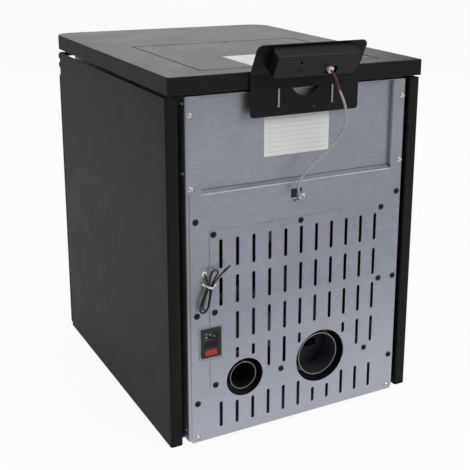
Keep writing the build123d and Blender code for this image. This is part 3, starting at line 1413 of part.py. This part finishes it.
def make_safety_switches():
    """Pressure switch and high-limit thermostat on the left chassis side."""
    face = -(chassis_x - CHASSIS_SHEET)
    pressure = rod_x(face, face + 18, -110, 330, 25) + rod_x(face + 18, face + 24, -110, 330, 14)
    pressure += rod_x(face + 24, face + 36, -118, 330, 3)
    limit = rod_x(face, face + 4, -60, 250, 12) + rod_x(face + 4, face + 20, -60, 250, 9)
    return Compound(children=[pressure, limit])


def main():
    os.makedirs("parts", exist_ok=True)
    probe, probe_end, probe_heading = make_probe_cord()
    pieces = {
        "base_tray": make_base_tray(),
        "levelling_feet": make_feet(),
        "chassis_side_left": make_chassis_side(-1),
        "chassis_side_right": make_chassis_side(1),
        "side_panel_left": make_side_panel(-1),
        "side_panel_right": make_side_panel(1),
        "top_frame": make_top_frame(),
        "top_plate": make_top_plate(),
        "hopper_lid": make_lid(),
        "hopper": make_hopper(),
        "hopper_guard": make_guard(),
        "rear_panel": make_rear_panel(),
        "service_cover": make_service_cover(),
        "upper_rear_wall": make_upper_wall(),
        "cover_screws": make_screws_black(),
        "chassis_screws": make_screws_silver(),
        "power_inlet": make_power_inlet(),
        "inlet_pins": make_inlet_pins(),
        "fuse_drawer": make_fuse_drawer(),
        "rocker_switch": make_rocker(),
        "display_bracket": make_display_bracket(),
        "display_housing": make_display_housing(),
        "display_screen": make_display_screen(),
        "cable_plugs": make_cable_plugs(),
        "display_cable": tube_along(CABLE_POINTS, CABLE_D, "display cable"),
        "probe_cord": probe,
        "probe_tip": make_probe_tip(probe_end, probe_heading),
        "probe_grommet": make_grommet(),
        "cable_tie": make_cable_tie(),
        "auger_tube": make_auger_tube(),
        "auger_screw": make_auger_screw(),
        "auger_gearmotor": make_gearmotor(),
        "exhaust_housing": make_exhaust_housing(),
        "exhaust_impeller": make_impeller(),
        "exhaust_motor": make_exhaust_motor(),
        "flue_spigot": make_flue_spigot(),
        "intake_duct": make_intake_duct(),
        "fan_housing": make_fan_housing(),
        "fan_wheel": make_fan_wheel(),
        "fan_motor": make_fan_motor(),
        "firebox": make_firebox(),
        "firebox_liner": make_liner(),
        "burn_pot": make_burn_pot(),
        "heat_tubes": make_heat_tubes(),
        "igniter": make_igniter(),
        "front_frame": make_front_frame(),
        "front_louvre": make_louvre(),
        "door_skin": make_door_skin(),
        "door_frame": make_door_frame(),
        "door_rope": make_door_rope(),
        "door_glass": make_door_glass(),
        "door_hinges": make_door_hinges(),
        "door_handle": make_door_handle(),
        "ash_drawer": make_ash_drawer(),
        "control_board": make_control_board(),
        "safety_switches": make_safety_switches(),
    }
    for index in range(len(KEY_PLACES)):
        pieces[f"display_key_{index + 1}"] = make_display_key(index)
    for name, shape in pieces.items():
        save(name, shape)
    print(f"{len(pieces)} nodes, origin {y_centre:.3f} behind the rear panel face")


main()
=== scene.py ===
import json
import math

import bmesh
import bpy
from mathutils import Matrix, Vector


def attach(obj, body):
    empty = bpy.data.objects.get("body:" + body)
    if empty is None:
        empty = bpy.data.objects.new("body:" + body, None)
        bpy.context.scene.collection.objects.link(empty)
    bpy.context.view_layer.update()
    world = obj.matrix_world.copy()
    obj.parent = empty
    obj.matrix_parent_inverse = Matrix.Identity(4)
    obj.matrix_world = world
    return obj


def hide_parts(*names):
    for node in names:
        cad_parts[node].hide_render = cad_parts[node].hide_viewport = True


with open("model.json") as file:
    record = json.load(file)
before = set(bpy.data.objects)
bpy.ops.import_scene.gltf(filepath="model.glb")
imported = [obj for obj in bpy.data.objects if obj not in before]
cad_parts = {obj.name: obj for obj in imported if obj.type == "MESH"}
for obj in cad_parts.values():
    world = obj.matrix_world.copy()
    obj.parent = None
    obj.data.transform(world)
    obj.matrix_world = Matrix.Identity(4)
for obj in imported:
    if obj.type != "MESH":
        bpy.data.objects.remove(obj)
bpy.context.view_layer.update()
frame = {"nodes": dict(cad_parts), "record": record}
nodes = frame["nodes"]

# The cabinet's own frame, in millimetres: Y = 0 at the rear panel's face, Z = 0 at the panels' lower edge
SHIFT = Vector((0.0, 278.95, 8.0))


def at(x, y, z):
    """A point of the cabinet, in metres in the row's frame."""
    return (Vector((x, y, z)) + SHIFT) / 1000


# Camera

FOCAL_PIXELS = 919.0
SHIFT_X = -0.12
SHIFT_Y = -0.15
AZIMUTH = math.radians(149.78)
ELEVATION = math.radians(14.91)
ROLL = math.radians(0.96)
TARGET = at(21.3, 1.8, 471.1)
DISTANCE = 1.5337


def make_camera():
    back = Vector((
        math.sin(AZIMUTH) * math.cos(ELEVATION),
        -math.cos(AZIMUTH) * math.cos(ELEVATION),
        math.sin(ELEVATION),
    ))
    right = Vector((0, 0, 1)).cross(back).normalized()
    up = back.cross(right)
    turned_right = right * math.cos(ROLL) + up * math.sin(ROLL)
    turned_up = up * math.cos(ROLL) - right * math.sin(ROLL)
    data = bpy.data.cameras.new("camera")
    data.sensor_width = 36.0
    data.lens = FOCAL_PIXELS / 470 * 36
    data.shift_x = SHIFT_X
    data.shift_y = SHIFT_Y
    camera = bpy.data.objects.new("camera", data)
    bpy.context.collection.objects.link(camera)
    matrix = Matrix((turned_right, turned_up, back)).transposed().to_4x4()
    matrix.translation = TARGET + back * DISTANCE
    camera.matrix_world = matrix
    bpy.context.scene.camera = camera


# Cords

def spline_object(name, points, radius):
    """A round cord on one smooth spline through the route's points."""
    data = bpy.data.curves.new(name, "CURVE")
    data.dimensions = "3D"
    data.bevel_depth = 1.0
    data.bevel_resolution = 5
    data.resolution_u = 12
    data.use_fill_caps = True
    spline = data.splines.new("NURBS")
    spline.points.add(len(points) - 1)
    for point, place in zip(spline.points, points):
        point.co = (*place, 1.0)
        point.radius = radius
    spline.order_u = 3
    spline.use_endpoint_u = True
    piece = bpy.data.objects.new(name, data)
    bpy.context.collection.objects.link(piece)
    return piece


CABLE_D = 0.0042
CABLE_ROUTE = [
    (-26.0, 43.385, 632.14),
    (-26.0, 53.93, 626.41),
    (-34.0, 54.6, 604.0),
    (-47.0, 51.0, 583.0),
    (-57.5, 45.0, 560.0),
    (-61.0, 37.0, 536.0),
    (-52.0, 30.0, 513.0),
    (-33.0, 24.0, 492.0),
    (-9.0, 19.5, 471.0),
    (11.5, 17.5, 451.0),
    (18.0, 17.5, 436.0),
    (12.5, 16.0, 422.0),
    (1.0, 13.0, 413.4),
    (1.0, 5.0, 413.4),
]

PROBE_D = 0.003
PROBE_STEP = 3.8
PROBE_WAIST = 1.9
GROMMET = (182.0, 304.5)
HANK_TIE = (174.5, 287.0)
HANK_TILT = math.radians(16.0)
HANK_Y = 6.0
HANK_DOWN = (51.0, 44.5)
HANK_UP = 27.0
HANK_LOBE = (9.0, 7.0)
HANK_UPPER_LOBE = 7.6
HANK_UPPER_LEAN = 3.3


def hank_place(across, along, depth):
    x = HANK_TIE[0] + across * math.cos(HANK_TILT) - along * math.sin(HANK_TILT)
    z = HANK_TIE[1] + across * math.sin(HANK_TILT) + along * math.cos(HANK_TILT)
    return (x, HANK_Y + depth, z)


def hank_point(turn):
    """The cord's line round the tied loops, counted in turns from the tie."""
    loop = min(int(turn), 1)
    wave = math.sin(2 * math.pi * turn)
    down = HANK_DOWN[loop] if wave > 0 else HANK_UP
    lobe = HANK_LOBE[loop] if wave > 0 else HANK_UPPER_LOBE
    width = PROBE_WAIST + (2.2 * lobe - PROBE_WAIST) * wave * wave
    across = math.cos(2 * math.pi * turn) * width
    if wave < 0:
        across -= HANK_UPPER_LEAN * wave * wave
    return hank_place(across, -down * wave, PROBE_STEP * turn)


def make_cords():
    cable = spline_object("display_cable_sheath", [at(*p) for p in CABLE_ROUTE], CABLE_D / 2)
    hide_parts("display_cable")
    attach(cable, "cabinet")
    lead = [(GROMMET[0], 2.6, GROMMET[1]), (GROMMET[0], 3.6, GROMMET[1]), (181.2, 6.4, 300.8)]
    loops = [hank_point(i / 12) for i in range(19)]
    tail = [(164.0, 13.4, 298.6), (157.5, 13.2, 304.3), (153.4, 12.9, 307.1)]
    probe = spline_object("probe_cord_sheath", [at(*p) for p in lead + loops + tail], PROBE_D / 2)
    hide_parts("probe_cord")
    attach(probe, "cabinet")
    return cable, probe


# Materials

class Shader:
    """One procedural material, with short calls for its nodes."""

    def __init__(self, name):
        self.material = bpy.data.materials.new(name)
        self.material.use_nodes = True
        self.tree = self.material.node_tree
        self.surface = self.tree.nodes["Principled BSDF"]
        self.coords = self.add("ShaderNodeTexCoord").outputs["Object"]

    def add(self, kind, **settings):
        node = self.tree.nodes.new(kind)
        for key, value in settings.items():
            setattr(node, key, value)
        return node

    def link(self, source, target):
        self.tree.links.new(source, target)

    def noise(self, scale, detail=4.0, rough=0.55, stretch=None):
        node = self.add("ShaderNodeTexNoise")
        node.inputs["Scale"].default_value = scale
        node.inputs["Detail"].default_value = detail
        node.inputs["Roughness"].default_value = rough
        source = self.coords
        if stretch:
            mapping = self.add("ShaderNodeMapping")
            mapping.inputs["Scale"].default_value = stretch
            self.link(self.coords, mapping.inputs["Vector"])
            source = mapping.outputs["Vector"]
        self.link(source, node.inputs["Vector"])
        return node.outputs["Fac"]

    def span(self, value, painted_floor_glow, high, start=0.0, end=1.0):
        """Maps a value from low..high to start..end, clamped."""
        node = self.add("ShaderNodeMapRange")
        node.inputs["From Min"].default_value = painted_floor_glow
        node.inputs["From Max"].default_value = high
        node.inputs["To Min"].default_value = start
        node.inputs["To Max"].default_value = end
        self.link(value, node.inputs["Value"])
        return node.outputs["Result"]

    def mix(self, factor, first, second):
        """Mixes two colours, each a tuple or another node's output."""
        node = self.add("ShaderNodeMix", data_type="RGBA")
        self.link(factor, node.inputs["Factor"])
        for value, socket in ((first, node.inputs[6]), (second, node.inputs[7])):
            if isinstance(value, tuple):
                socket.default_value = (*value, 1.0)
            else:
                self.link(value, socket)
        return node.outputs[2]

    def bump(self, height, strength, distance, soften=0.0):
        node = self.add("ShaderNodeBump")
        node.inputs["Strength"].default_value = strength
        node.inputs["Distance"].default_value = distance
        self.link(height, node.inputs["Height"])
        if soften:
            bevel = self.add("ShaderNodeBevel", samples=4)
            bevel.inputs["Radius"].default_value = soften
            self.link(bevel.outputs["Normal"], node.inputs["Normal"])
        self.link(node.outputs["Normal"], self.surface.inputs["Normal"])

    def colour(self, source):
        self.link(source, self.surface.inputs["Base Color"])

    def roughness(self, source):
        self.link(source, self.surface.inputs["Roughness"])

    def set(self, **values):
        for key, value in values.items():
            self.surface.inputs[key.replace("_", " ")].default_value = value


def scaled(colour, factor):
    return tuple(min(1.0, c * factor) for c in colour)


def powder_coat():
    """Fine-textured anthracite powder coat with faint handling marks."""
    shader = Shader("anthracite_powder_coat")
    base = (0.0045, 0.0045, 0.006)
    cloud = shader.span(shader.noise(3.0, 2.0), 0.35, 0.65)
    tone = shader.mix(cloud, scaled(base, 0.92), scaled(base, 1.08))
    speck = shader.span(shader.noise(2600.0, 1.0), 0.60, 0.72)
    shader.colour(shader.mix(speck, tone, scaled(base, 1.8)))
    shader.roughness(shader.span(shader.noise(12.0, 3.0), 0.3, 0.7, 0.44, 0.49))
    shader.bump(shader.noise(1500.0, 3.0), 0.2, 0.00025, soften=0.0007)
    shader.set(Specular_IOR_Level=0.19)
    return shader.material


def galvanised(name, base, rough=0.42, metal=0.85):
    """Zinc-coated sheet with cloudy spangle, soft drawing lines and dull patches, painted lighter towards the bottom
    as a painted glow of light bounced up from the floor.
    """
    shader = Shader(name)
    cells = shader.add("ShaderNodeTexVoronoi")
    cells.inputs["Scale"].default_value = 95.0
    cells.inputs["Randomness"].default_value = 1.0
    warp = shader.add("ShaderNodeVectorMath", operation="ADD")
    wobble = shader.add("ShaderNodeTexNoise")
    wobble.inputs["Scale"].default_value = 40.0
    shader.link(shader.coords, wobble.inputs["Vector"])
    small = shader.add("ShaderNodeVectorMath", operation="SCALE")
    small.inputs["Scale"].default_value = 0.012
    shader.link(wobble.outputs["Color"], small.inputs[0])
    shader.link(shader.coords, warp.inputs[0])
    shader.link(small.outputs["Vector"], warp.inputs[1])
    shader.link(warp.outputs["Vector"], cells.inputs["Vector"])
    grey = shader.add("ShaderNodeSeparateColor")
    shader.link(cells.outputs["Color"], grey.inputs["Color"])
    spangle = grey.outputs["Red"]
    tone = shader.mix(spangle, scaled(base, 0.93), scaled(base, 1.06))
    cloud = shader.span(shader.noise(9.0, 5.0, 0.6), 0.35, 0.68)
    clouded = shader.mix(cloud, scaled(base, 0.9), scaled(base, 1.07))
    both = shader.add("ShaderNodeMix", data_type="RGBA", blend_type="MULTIPLY")
    both.inputs["Factor"].default_value = 0.55
    shader.link(tone, both.inputs[6])
    white = shader.mix(cloud, (0.86, 0.87, 0.9), (1.0, 1.0, 1.0))
    shader.link(white, both.inputs[7])
    sheet = shader.mix(shader.span(spangle, 0.0, 1.0, 0.35, 0.65), both.outputs[2], clouded)
    scuff = shader.span(shader.noise(60.0, 6.0, 0.7, stretch=(0.35, 1.0, 2.6)), 0.60, 0.74, 0.0, 0.35)
    scuffed = shader.mix(scuff, sheet, scaled(base, 1.45))
    pore = shader.span(shader.noise(230.0, 2.0), 0.70, 0.78, 0.0, 0.5)
    marked = shader.mix(pore, scuffed, scaled(base, 0.45))
    height = shader.add("ShaderNodeSeparateXYZ")
    shader.link(shader.coords, height.inputs["Vector"])
    # Painted light: below about 0.26 m the sheet is painted lighter, up to 1.75 times the base, as a painted glow of
    # light bounced up from the white floor.
    painted_floor_glow = shader.span(height.outputs["Z"], 0.03, 0.26, 0.75, 0.0)
    broad = shader.span(shader.noise(3.2, 3.0, 0.5, stretch=(1.0, 1.0, 1.6)), 0.38, 0.62, 0.0, 0.32)
    shaded = shader.mix(broad, marked, scaled(base, 0.66))
    shader.colour(shader.mix(painted_floor_glow, shaded, scaled(base, 1.75)))
    streak = shader.noise(14.0, 4.0, 0.5, stretch=(1.0, 1.0, 9.0))
    shader.roughness(shader.span(streak, 0.3, 0.7, rough - 0.07, rough + 0.09))
    shader.bump(shader.noise(700.0, 3.0), 0.05, 0.0002, soften=0.0005)
    shader.set(Metallic=metal)
    return shader.material


def plain(name, base, rough, metal=0.0, grain=800.0, depth=0.08, vary=0.1, soften=0.0, **extra):
    """A moulded, cast or machined finish: mottled colour, uneven gloss and a fine grain."""
    shader = Shader(name)
    cloud = shader.span(shader.noise(35.0, 4.0), 0.3, 0.7)
    shader.colour(shader.mix(cloud, scaled(base, 1 - vary), scaled(base, 1 + vary)))
    shader.roughness(shader.span(shader.noise(90.0, 4.0), 0.3, 0.7, rough - 0.05, rough + 0.06))
    shader.bump(shader.noise(grain, 3.0), depth, 0.0003, soften=soften)
    shader.set(Metallic=metal, **extra)
    return shader.material


def brushed(name, base, rough, stretch):
    """Metal brushed along one axis."""
    shader = Shader(name)
    lines = shader.noise(900.0, 3.0, 0.6, stretch=stretch)
    shader.colour(shader.mix(lines, scaled(base, 0.85), scaled(base, 1.1)))
    shader.roughness(shader.span(lines, 0.25, 0.75, rough - 0.08, rough + 0.1))
    shader.bump(lines, 0.1, 0.0002, soften=0.0004)
    shader.set(Metallic=1.0)
    return shader.material


def sooty(name, base, rough):
    """Heat-painted plate and castings, dusted grey with ash in uneven patches."""
    shader = Shader(name)
    dust = shader.span(shader.noise(22.0, 6.0, 0.7), 0.45, 0.75)
    shader.colour(shader.mix(dust, base, (0.12, 0.11, 0.10)))
    shader.roughness(shader.span(shader.noise(60.0, 4.0), 0.3, 0.7, rough, rough + 0.15))
    shader.bump(shader.noise(420.0, 5.0, 0.65), 0.3, 0.0006, soften=0.0006)
    shader.set(Metallic=0.2)
    return shader.material


def knitted(name, base):
    """Knitted glass-fibre rope."""
    shader = Shader(name)
    wave = shader.add("ShaderNodeTexWave", wave_type="BANDS", bands_direction="DIAGONAL")
    wave.inputs["Scale"].default_value = 260.0
    wave.inputs["Distortion"].default_value = 3.0
    shader.link(shader.coords, wave.inputs["Vector"])
    shader.colour(shader.mix(wave.outputs["Fac"], scaled(base, 0.55), scaled(base, 1.2)))
    shader.bump(wave.outputs["Fac"], 0.7, 0.0008)
    shader.set(Roughness=0.9)
    return shader.material


def smoked_glass():
    shader = Shader("smoked_ceramic_glass")
    film = shader.span(shader.noise(7.0, 5.0, 0.6), 0.45, 0.8)
    shader.colour(shader.mix(film, (0.30, 0.29, 0.28), (0.16, 0.15, 0.14)))
    shader.roughness(shader.span(shader.noise(18.0, 4.0), 0.4, 0.8, 0.04, 0.12))
    shader.set(Transmission_Weight=0.85, IOR=1.45)
    return shader.material


def circuit_board():
    """Green board, lighter green towards the edges of a blocky cell pattern, with matching bumps."""
    shader = Shader("coated_circuit_board")
    cells = shader.add("ShaderNodeTexVoronoi", distance="CHEBYCHEV")
    cells.inputs["Scale"].default_value = 60.0
    shader.link(shader.coords, cells.inputs["Vector"])
    lines = shader.span(cells.outputs["Distance"], 0.3, 0.36)
    shader.colour(shader.mix(lines, (0.02, 0.11, 0.05), (0.05, 0.20, 0.09)))
    shader.bump(lines, 0.2, 0.0003)
    shader.set(Roughness=0.35)
    return shader.material


def cable_sheath():
    """Grey sheath that ends short of the display's plug, where the thin leads show dark and red."""
    shader = Shader("grey_sheath")
    cloud = shader.span(shader.noise(35.0, 4.0), 0.3, 0.7)
    sheath = shader.mix(cloud, (0.33, 0.33, 0.33), (0.41, 0.41, 0.41))
    lead = shader.span(shader.noise(420.0, 1.0, 0.4, stretch=(1.0, 1.0, 0.08)), 0.48, 0.52)
    leads = shader.mix(lead, (0.012, 0.012, 0.014), (0.30, 0.02, 0.02))
    place = shader.add("ShaderNodeSeparateXYZ")
    shader.link(shader.coords, place.inputs["Vector"])
    bare = shader.span(place.outputs["Z"], 0.6075, 0.6085)
    shader.colour(shader.mix(bare, sheath, leads))
    shader.bump(shader.noise(500.0, 3.0), 0.08, 0.0003)
    shader.set(Roughness=0.42)
    return shader.material


def inlet_module():
    """Black moulding on a thin zinc plate."""
    shader = Shader("inlet_module")
    place = shader.add("ShaderNodeSeparateXYZ")
    shader.link(shader.coords, place.inputs["Vector"])
    black = shader.span(place.outputs["Y"], (SHIFT.y + 1.02) / 1000, (SHIFT.y + 1.06) / 1000)
    cloud = shader.span(shader.noise(60.0, 4.0), 0.3, 0.7)
    zinc = shader.mix(cloud, (0.30, 0.31, 0.34), (0.40, 0.42, 0.46))
    shader.colour(shader.mix(black, zinc, (0.006, 0.006, 0.008)))
    shader.link(shader.span(black, 0.0, 1.0, 0.8, 0.0), shader.surface.inputs["Metallic"])
    shader.bump(shader.noise(1200.0, 3.0), 0.1, 0.0003, soften=0.0004)
    shader.set(Roughness=0.36)
    return shader.material


def pipe_dark_inside(name, centre, radius, outside, inside):
    """Metal whose inner wall, nearer to the pipe's axis than a radius, is dull and dark."""
    shader = Shader(name)
    flat = shader.add("ShaderNodeMapping")
    flat.inputs["Scale"].default_value = (1.0, 0.0, 1.0)
    shader.link(shader.coords, flat.inputs["Vector"])
    away = shader.add("ShaderNodeVectorMath", operation="DISTANCE")
    shader.link(flat.outputs["Vector"], away.inputs[0])
    axis = at(centre[0], 0, centre[1])
    away.inputs[1].default_value = (axis.x, 0.0, axis.z)
    bright = shader.span(away.outputs["Value"], (radius - 0.1) / 1000, (radius + 0.1) / 1000)
    cloud = shader.span(shader.noise(55.0, 5.0, 0.6), 0.3, 0.7)
    dull = shader.mix(cloud, scaled(inside, 0.75), scaled(inside, 1.3))
    shader.colour(shader.mix(bright, dull, outside))
    shader.link(shader.span(bright, 0.0, 1.0, 0.1, 0.95), shader.surface.inputs["Metallic"])
    shader.roughness(shader.span(bright, 0.0, 1.0, 0.6, 0.28))
    shader.bump(shader.noise(400.0, 3.0), 0.1, 0.0003, soften=0.0004)
    return shader.material


def make_materials():
    zinc = (0.355, 0.372, 0.415)
    return {
        "powder_coat": powder_coat(),
        "galvanised": galvanised("spangled_zinc_sheet", zinc),
        "hopper_steel": galvanised("hopper_sheet", (0.40, 0.41, 0.43), 0.38),
        "zinc_hardware": plain("bright_zinc", (0.66, 0.63, 0.60), 0.2, 1.0, soften=0.0003),
        "black_hardware": plain("black_oxide", (0.012, 0.012, 0.014), 0.22, 0.5, soften=0.0003),
        "black_plastic": plain("black_moulding", (0.004, 0.004, 0.005), 0.36, Specular_IOR_Level=0.28, grain=1600.0, depth=0.12, soften=0.0005),
        "red_plastic": plain("red_rocker", (0.40, 0.008, 0.006), 0.14, vary=0.04, depth=0.02, soften=0.0004, Coat_Weight=0.4),
        "white_plastic": plain("white_nylon", (0.82, 0.82, 0.81), 0.38, vary=0.03, soften=0.0003, Subsurface_Weight=0.08),
        "key_plastic": plain("key_caps", (0.16, 0.165, 0.175), 0.4, vary=0.03, soften=0.0004),
        "screen_window": plain("screen_window", (0.010, 0.013, 0.018), 0.08, vary=0.2, depth=0.0, Coat_Weight=0.6),
        "inlet_brass": plain("plated_contacts", (0.70, 0.62, 0.48), 0.28, 1.0),
        "grey_cable": cable_sheath(),
        "black_cable": plain("black_sheath", (0.007, 0.007, 0.008), 0.42, grain=500.0),
        "stainless": brushed("brushed_stainless", (0.60, 0.59, 0.57), 0.28, (1.0, 1.0, 14.0)),
        "motor_metal": plain("motor_paint", (0.10, 0.10, 0.105), 0.45, 0.5, grain=300.0),
        "cast_aluminium": plain("cast_aluminium", (0.52, 0.53, 0.54), 0.45, 0.9, grain=350.0, depth=0.25),
        "fire_steel": sooty("heat_painted_steel", (0.030, 0.028, 0.027), 0.55),
        "fire_iron": sooty("sand_cast_iron", (0.035, 0.033, 0.031), 0.6),
        "vermiculite": plain("pressed_vermiculite", (0.33, 0.27, 0.20), 0.85, grain=500.0, depth=0.5, vary=0.3),
        "glass_rope": knitted("glass_fibre_rope", (0.22, 0.22, 0.21)),
        "fire_glass": smoked_glass(),
        "igniter_ceramic": plain("fired_ceramic", (0.62, 0.60, 0.55), 0.5),
        "circuit_board": circuit_board(),
        "foot_rubber": plain("foot_rubber", (0.02, 0.02, 0.02), 0.7, grain=400.0, depth=0.2),
    }


def dress_cad(materials):
    """Gives each CAD node the finish of its record slot, or one of its own."""
    own = {
        "power_inlet": inlet_module(),
        # The intake's inner wall is painted near-black: painted shade deep inside the duct.
        "intake_duct": pipe_dark_inside("intake_pipe", (106.5, 101.5), 24.1, (0.42, 0.42, 0.42), (0.006, 0.006, 0.006)),
        "flue_spigot": pipe_dark_inside("flue_pipe", (-45.8, 105.8), 39.2, (0.60, 0.60, 0.61), (0.035, 0.036, 0.047)),
        "exhaust_housing": pipe_dark_inside("exhaust_casting", (-45.8, 105.8), 45.0, (0.10, 0.10, 0.105), (0.042, 0.044, 0.058)),
        "probe_tip": plain("probe_sleeve", (0.03, 0.03, 0.032), 0.3, 0.6, soften=0.0002),
    }
    for part in frame["record"]["subparts"]:
        node = nodes[part["node"]]
        finish = own.get(part["node"], materials[part["material_slot"]])
        for slot in node.material_slots:
            slot.material = finish


# Labels

def plate(name, x0, x1, z0, z1, y, thick, radius, material, body, lying=False):
    """A thin rounded rectangle on an upright face at y, or lying on a level face at that height."""
    mesh = bpy.data.meshes.new(name)
    form = bmesh.new()
    corners = ((x1 - radius, z1 - radius, 0), (x0 + radius, z1 - radius, 90),
               (x0 + radius, z0 + radius, 180), (x1 - radius, z0 + radius, 270))
    ring = []
    for cx, cz, first in corners:
        for i in range(7):
            a = math.radians(first + 15 * i)
            across, along = cx + radius * math.cos(a), cz + radius * math.sin(a)
            ring.append(form.verts.new(at(across, along, y) if lying else at(across, y, along)))
    face = form.faces.new(ring)
    raised = bmesh.ops.extrude_face_region(form, geom=[face])
    top = [v for v in raised["geom"] if isinstance(v, bmesh.types.BMVert)]
    bmesh.ops.translate(form, verts=top, vec=(0, 0, thick / 1000) if lying else (0, thick / 1000, 0))
    bmesh.ops.recalc_face_normals(form, faces=form.faces)
    form.to_mesh(mesh)
    form.free()
    piece = bpy.data.objects.new(name, mesh)
    piece.data.materials.append(material)
    bpy.context.collection.objects.link(piece)
    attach(piece, body)
    return piece


def make_labels(materials):
    paper = plain("label_paper", (0.78, 0.78, 0.77), 0.5, vary=0.02, depth=0.03)
    ink = plain("label_rule", (0.46, 0.47, 0.49), 0.6, vary=0.02, depth=0.0)
    plate("rear_label", -57, 68, 487, 572, -8.5, 0.15, 1.5, paper, "cabinet")
    for i in range(8):
        z = 494 + 8 * i
        plate(f"rear_label_rule_{i}", -52, 62, z, z + 0.5, -8.35, 0.03, 0.2, ink, "cabinet")
    lid_paper = plain("lid_label_film", (0.30, 0.31, 0.33), 0.35, vary=0.03, depth=0.02)
    plate("lid_label", -40, 69, -165, -53, 632.4, 0.12, 2.0, lid_paper, "lid", lying=True)
    for i in range(9):
        y = -158 + 11 * i
        plate(f"lid_label_rule_{i}", -33, 62, y, y + 1.4, 632.52, 0.02, 0.5, paper, "lid", lying=True)


# Stage and light

def make_stage():
    mesh = bpy.data.meshes.new("floor")
    reach = 40.0
    mesh.from_pydata([(-reach, -reach, 0), (reach, -reach, 0), (reach, reach, 0), (-reach, reach, 0)], [], [(0, 1, 2, 3)])
    floor = bpy.data.objects.new("floor", mesh)
    bpy.context.collection.objects.link(floor)
    material = bpy.data.materials.new("floor_white")
    material.use_nodes = True
    tree = material.node_tree
    tree.nodes.clear()
    output = tree.nodes.new("ShaderNodeOutputMaterial")
    diffuse = tree.nodes.new("ShaderNodeBsdfDiffuse")
    diffuse.inputs["Color"].default_value = (0.82, 0.82, 0.82, 1)
    glow = tree.nodes.new("ShaderNodeEmission")
    blend = tree.nodes.new("ShaderNodeMixShader")
    tree.links.new(seen_rays(tree, 0.93, 0.18), blend.inputs["Fac"])
    tree.links.new(diffuse.outputs[0], blend.inputs[1])
    tree.links.new(glow.outputs[0], blend.inputs[2])
    tree.links.new(blend.outputs[0], output.inputs["Surface"])
    floor.data.materials.append(material)


def seen_rays(tree, straight, mirrored):
    """A share for rays that show the background straight or through glass, and one for mirrored rays."""
    path = tree.nodes.new("ShaderNodeLightPath")
    result = None
    for output, share in (("Is Camera Ray", straight), ("Is Transmission Ray", straight), ("Is Glossy Ray", mirrored)):
        scaled_ray = tree.nodes.new("ShaderNodeMath")
        scaled_ray.operation = "MULTIPLY"
        scaled_ray.inputs[1].default_value = share
        tree.links.new(path.outputs[output], scaled_ray.inputs[0])
        if result is None:
            result = scaled_ray.outputs[0]
            continue
        larger = tree.nodes.new("ShaderNodeMath")
        larger.operation = "MAXIMUM"
        tree.links.new(result, larger.inputs[0])
        tree.links.new(scaled_ray.outputs[0], larger.inputs[1])
        result = larger.outputs[0]
    return result


def make_world():
    world = bpy.data.worlds.new("studio")
    bpy.context.scene.world = world
    world.use_nodes = True
    tree = world.node_tree
    tree.nodes.clear()
    output = tree.nodes.new("ShaderNodeOutputWorld")
    soft = tree.nodes.new("ShaderNodeBackground")
    soft.inputs["Color"].default_value = (0.96, 0.98, 1.0, 1)
    soft.inputs["Strength"].default_value = 0.36
    white = tree.nodes.new("ShaderNodeBackground")
    white.inputs["Strength"].default_value = 1.0
    blend = tree.nodes.new("ShaderNodeMixShader")
    tree.links.new(seen_rays(tree, 1.0, 0.12), blend.inputs["Fac"])
    tree.links.new(soft.outputs[0], blend.inputs[1])
    tree.links.new(white.outputs[0], blend.inputs[2])
    tree.links.new(blend.outputs[0], output.inputs["Surface"])


def softbox(name, place, aim, size, power, colour=(1, 1, 1)):
    data = bpy.data.lights.new(name, "AREA")
    data.shape = "RECTANGLE"
    data.size, data.size_y = size
    data.energy = power
    data.color = colour
    light = bpy.data.objects.new(name, data)
    light.location = place
    light.rotation_mode = "QUATERNION"
    light.rotation_quaternion = (Vector(aim) - Vector(place)).to_track_quat("-Z", "Y")
    bpy.context.collection.objects.link(light)


def make_lights():
    softbox("key", (-1.6, 2.4, 2.2), (0, 0.2, 0.35), (1.6, 1.6), 42)
    softbox("top", (0.2, 0.4, 2.9), (0, 0, 0.4), (2.4, 2.4), 17)
    softbox("side", (2.9, -0.2, 1.9), (0.2, 0, 0.4), (1.4, 1.8), 22, (0.93, 0.96, 1.0))
    softbox("front", (-1.2, -2.8, 1.8), (0, 0, 0.35), (2.0, 1.6), 20)


def main():
    bpy.context.scene.view_settings.view_transform = "Standard"
    make_camera()
    cable, probe = make_cords()
    materials = make_materials()
    dress_cad(materials)
    cable.data.materials.append(materials["grey_cable"])
    probe.data.materials.append(materials["black_cable"])
    make_labels(materials)
    make_stage()
    make_world()
    make_lights()


main()
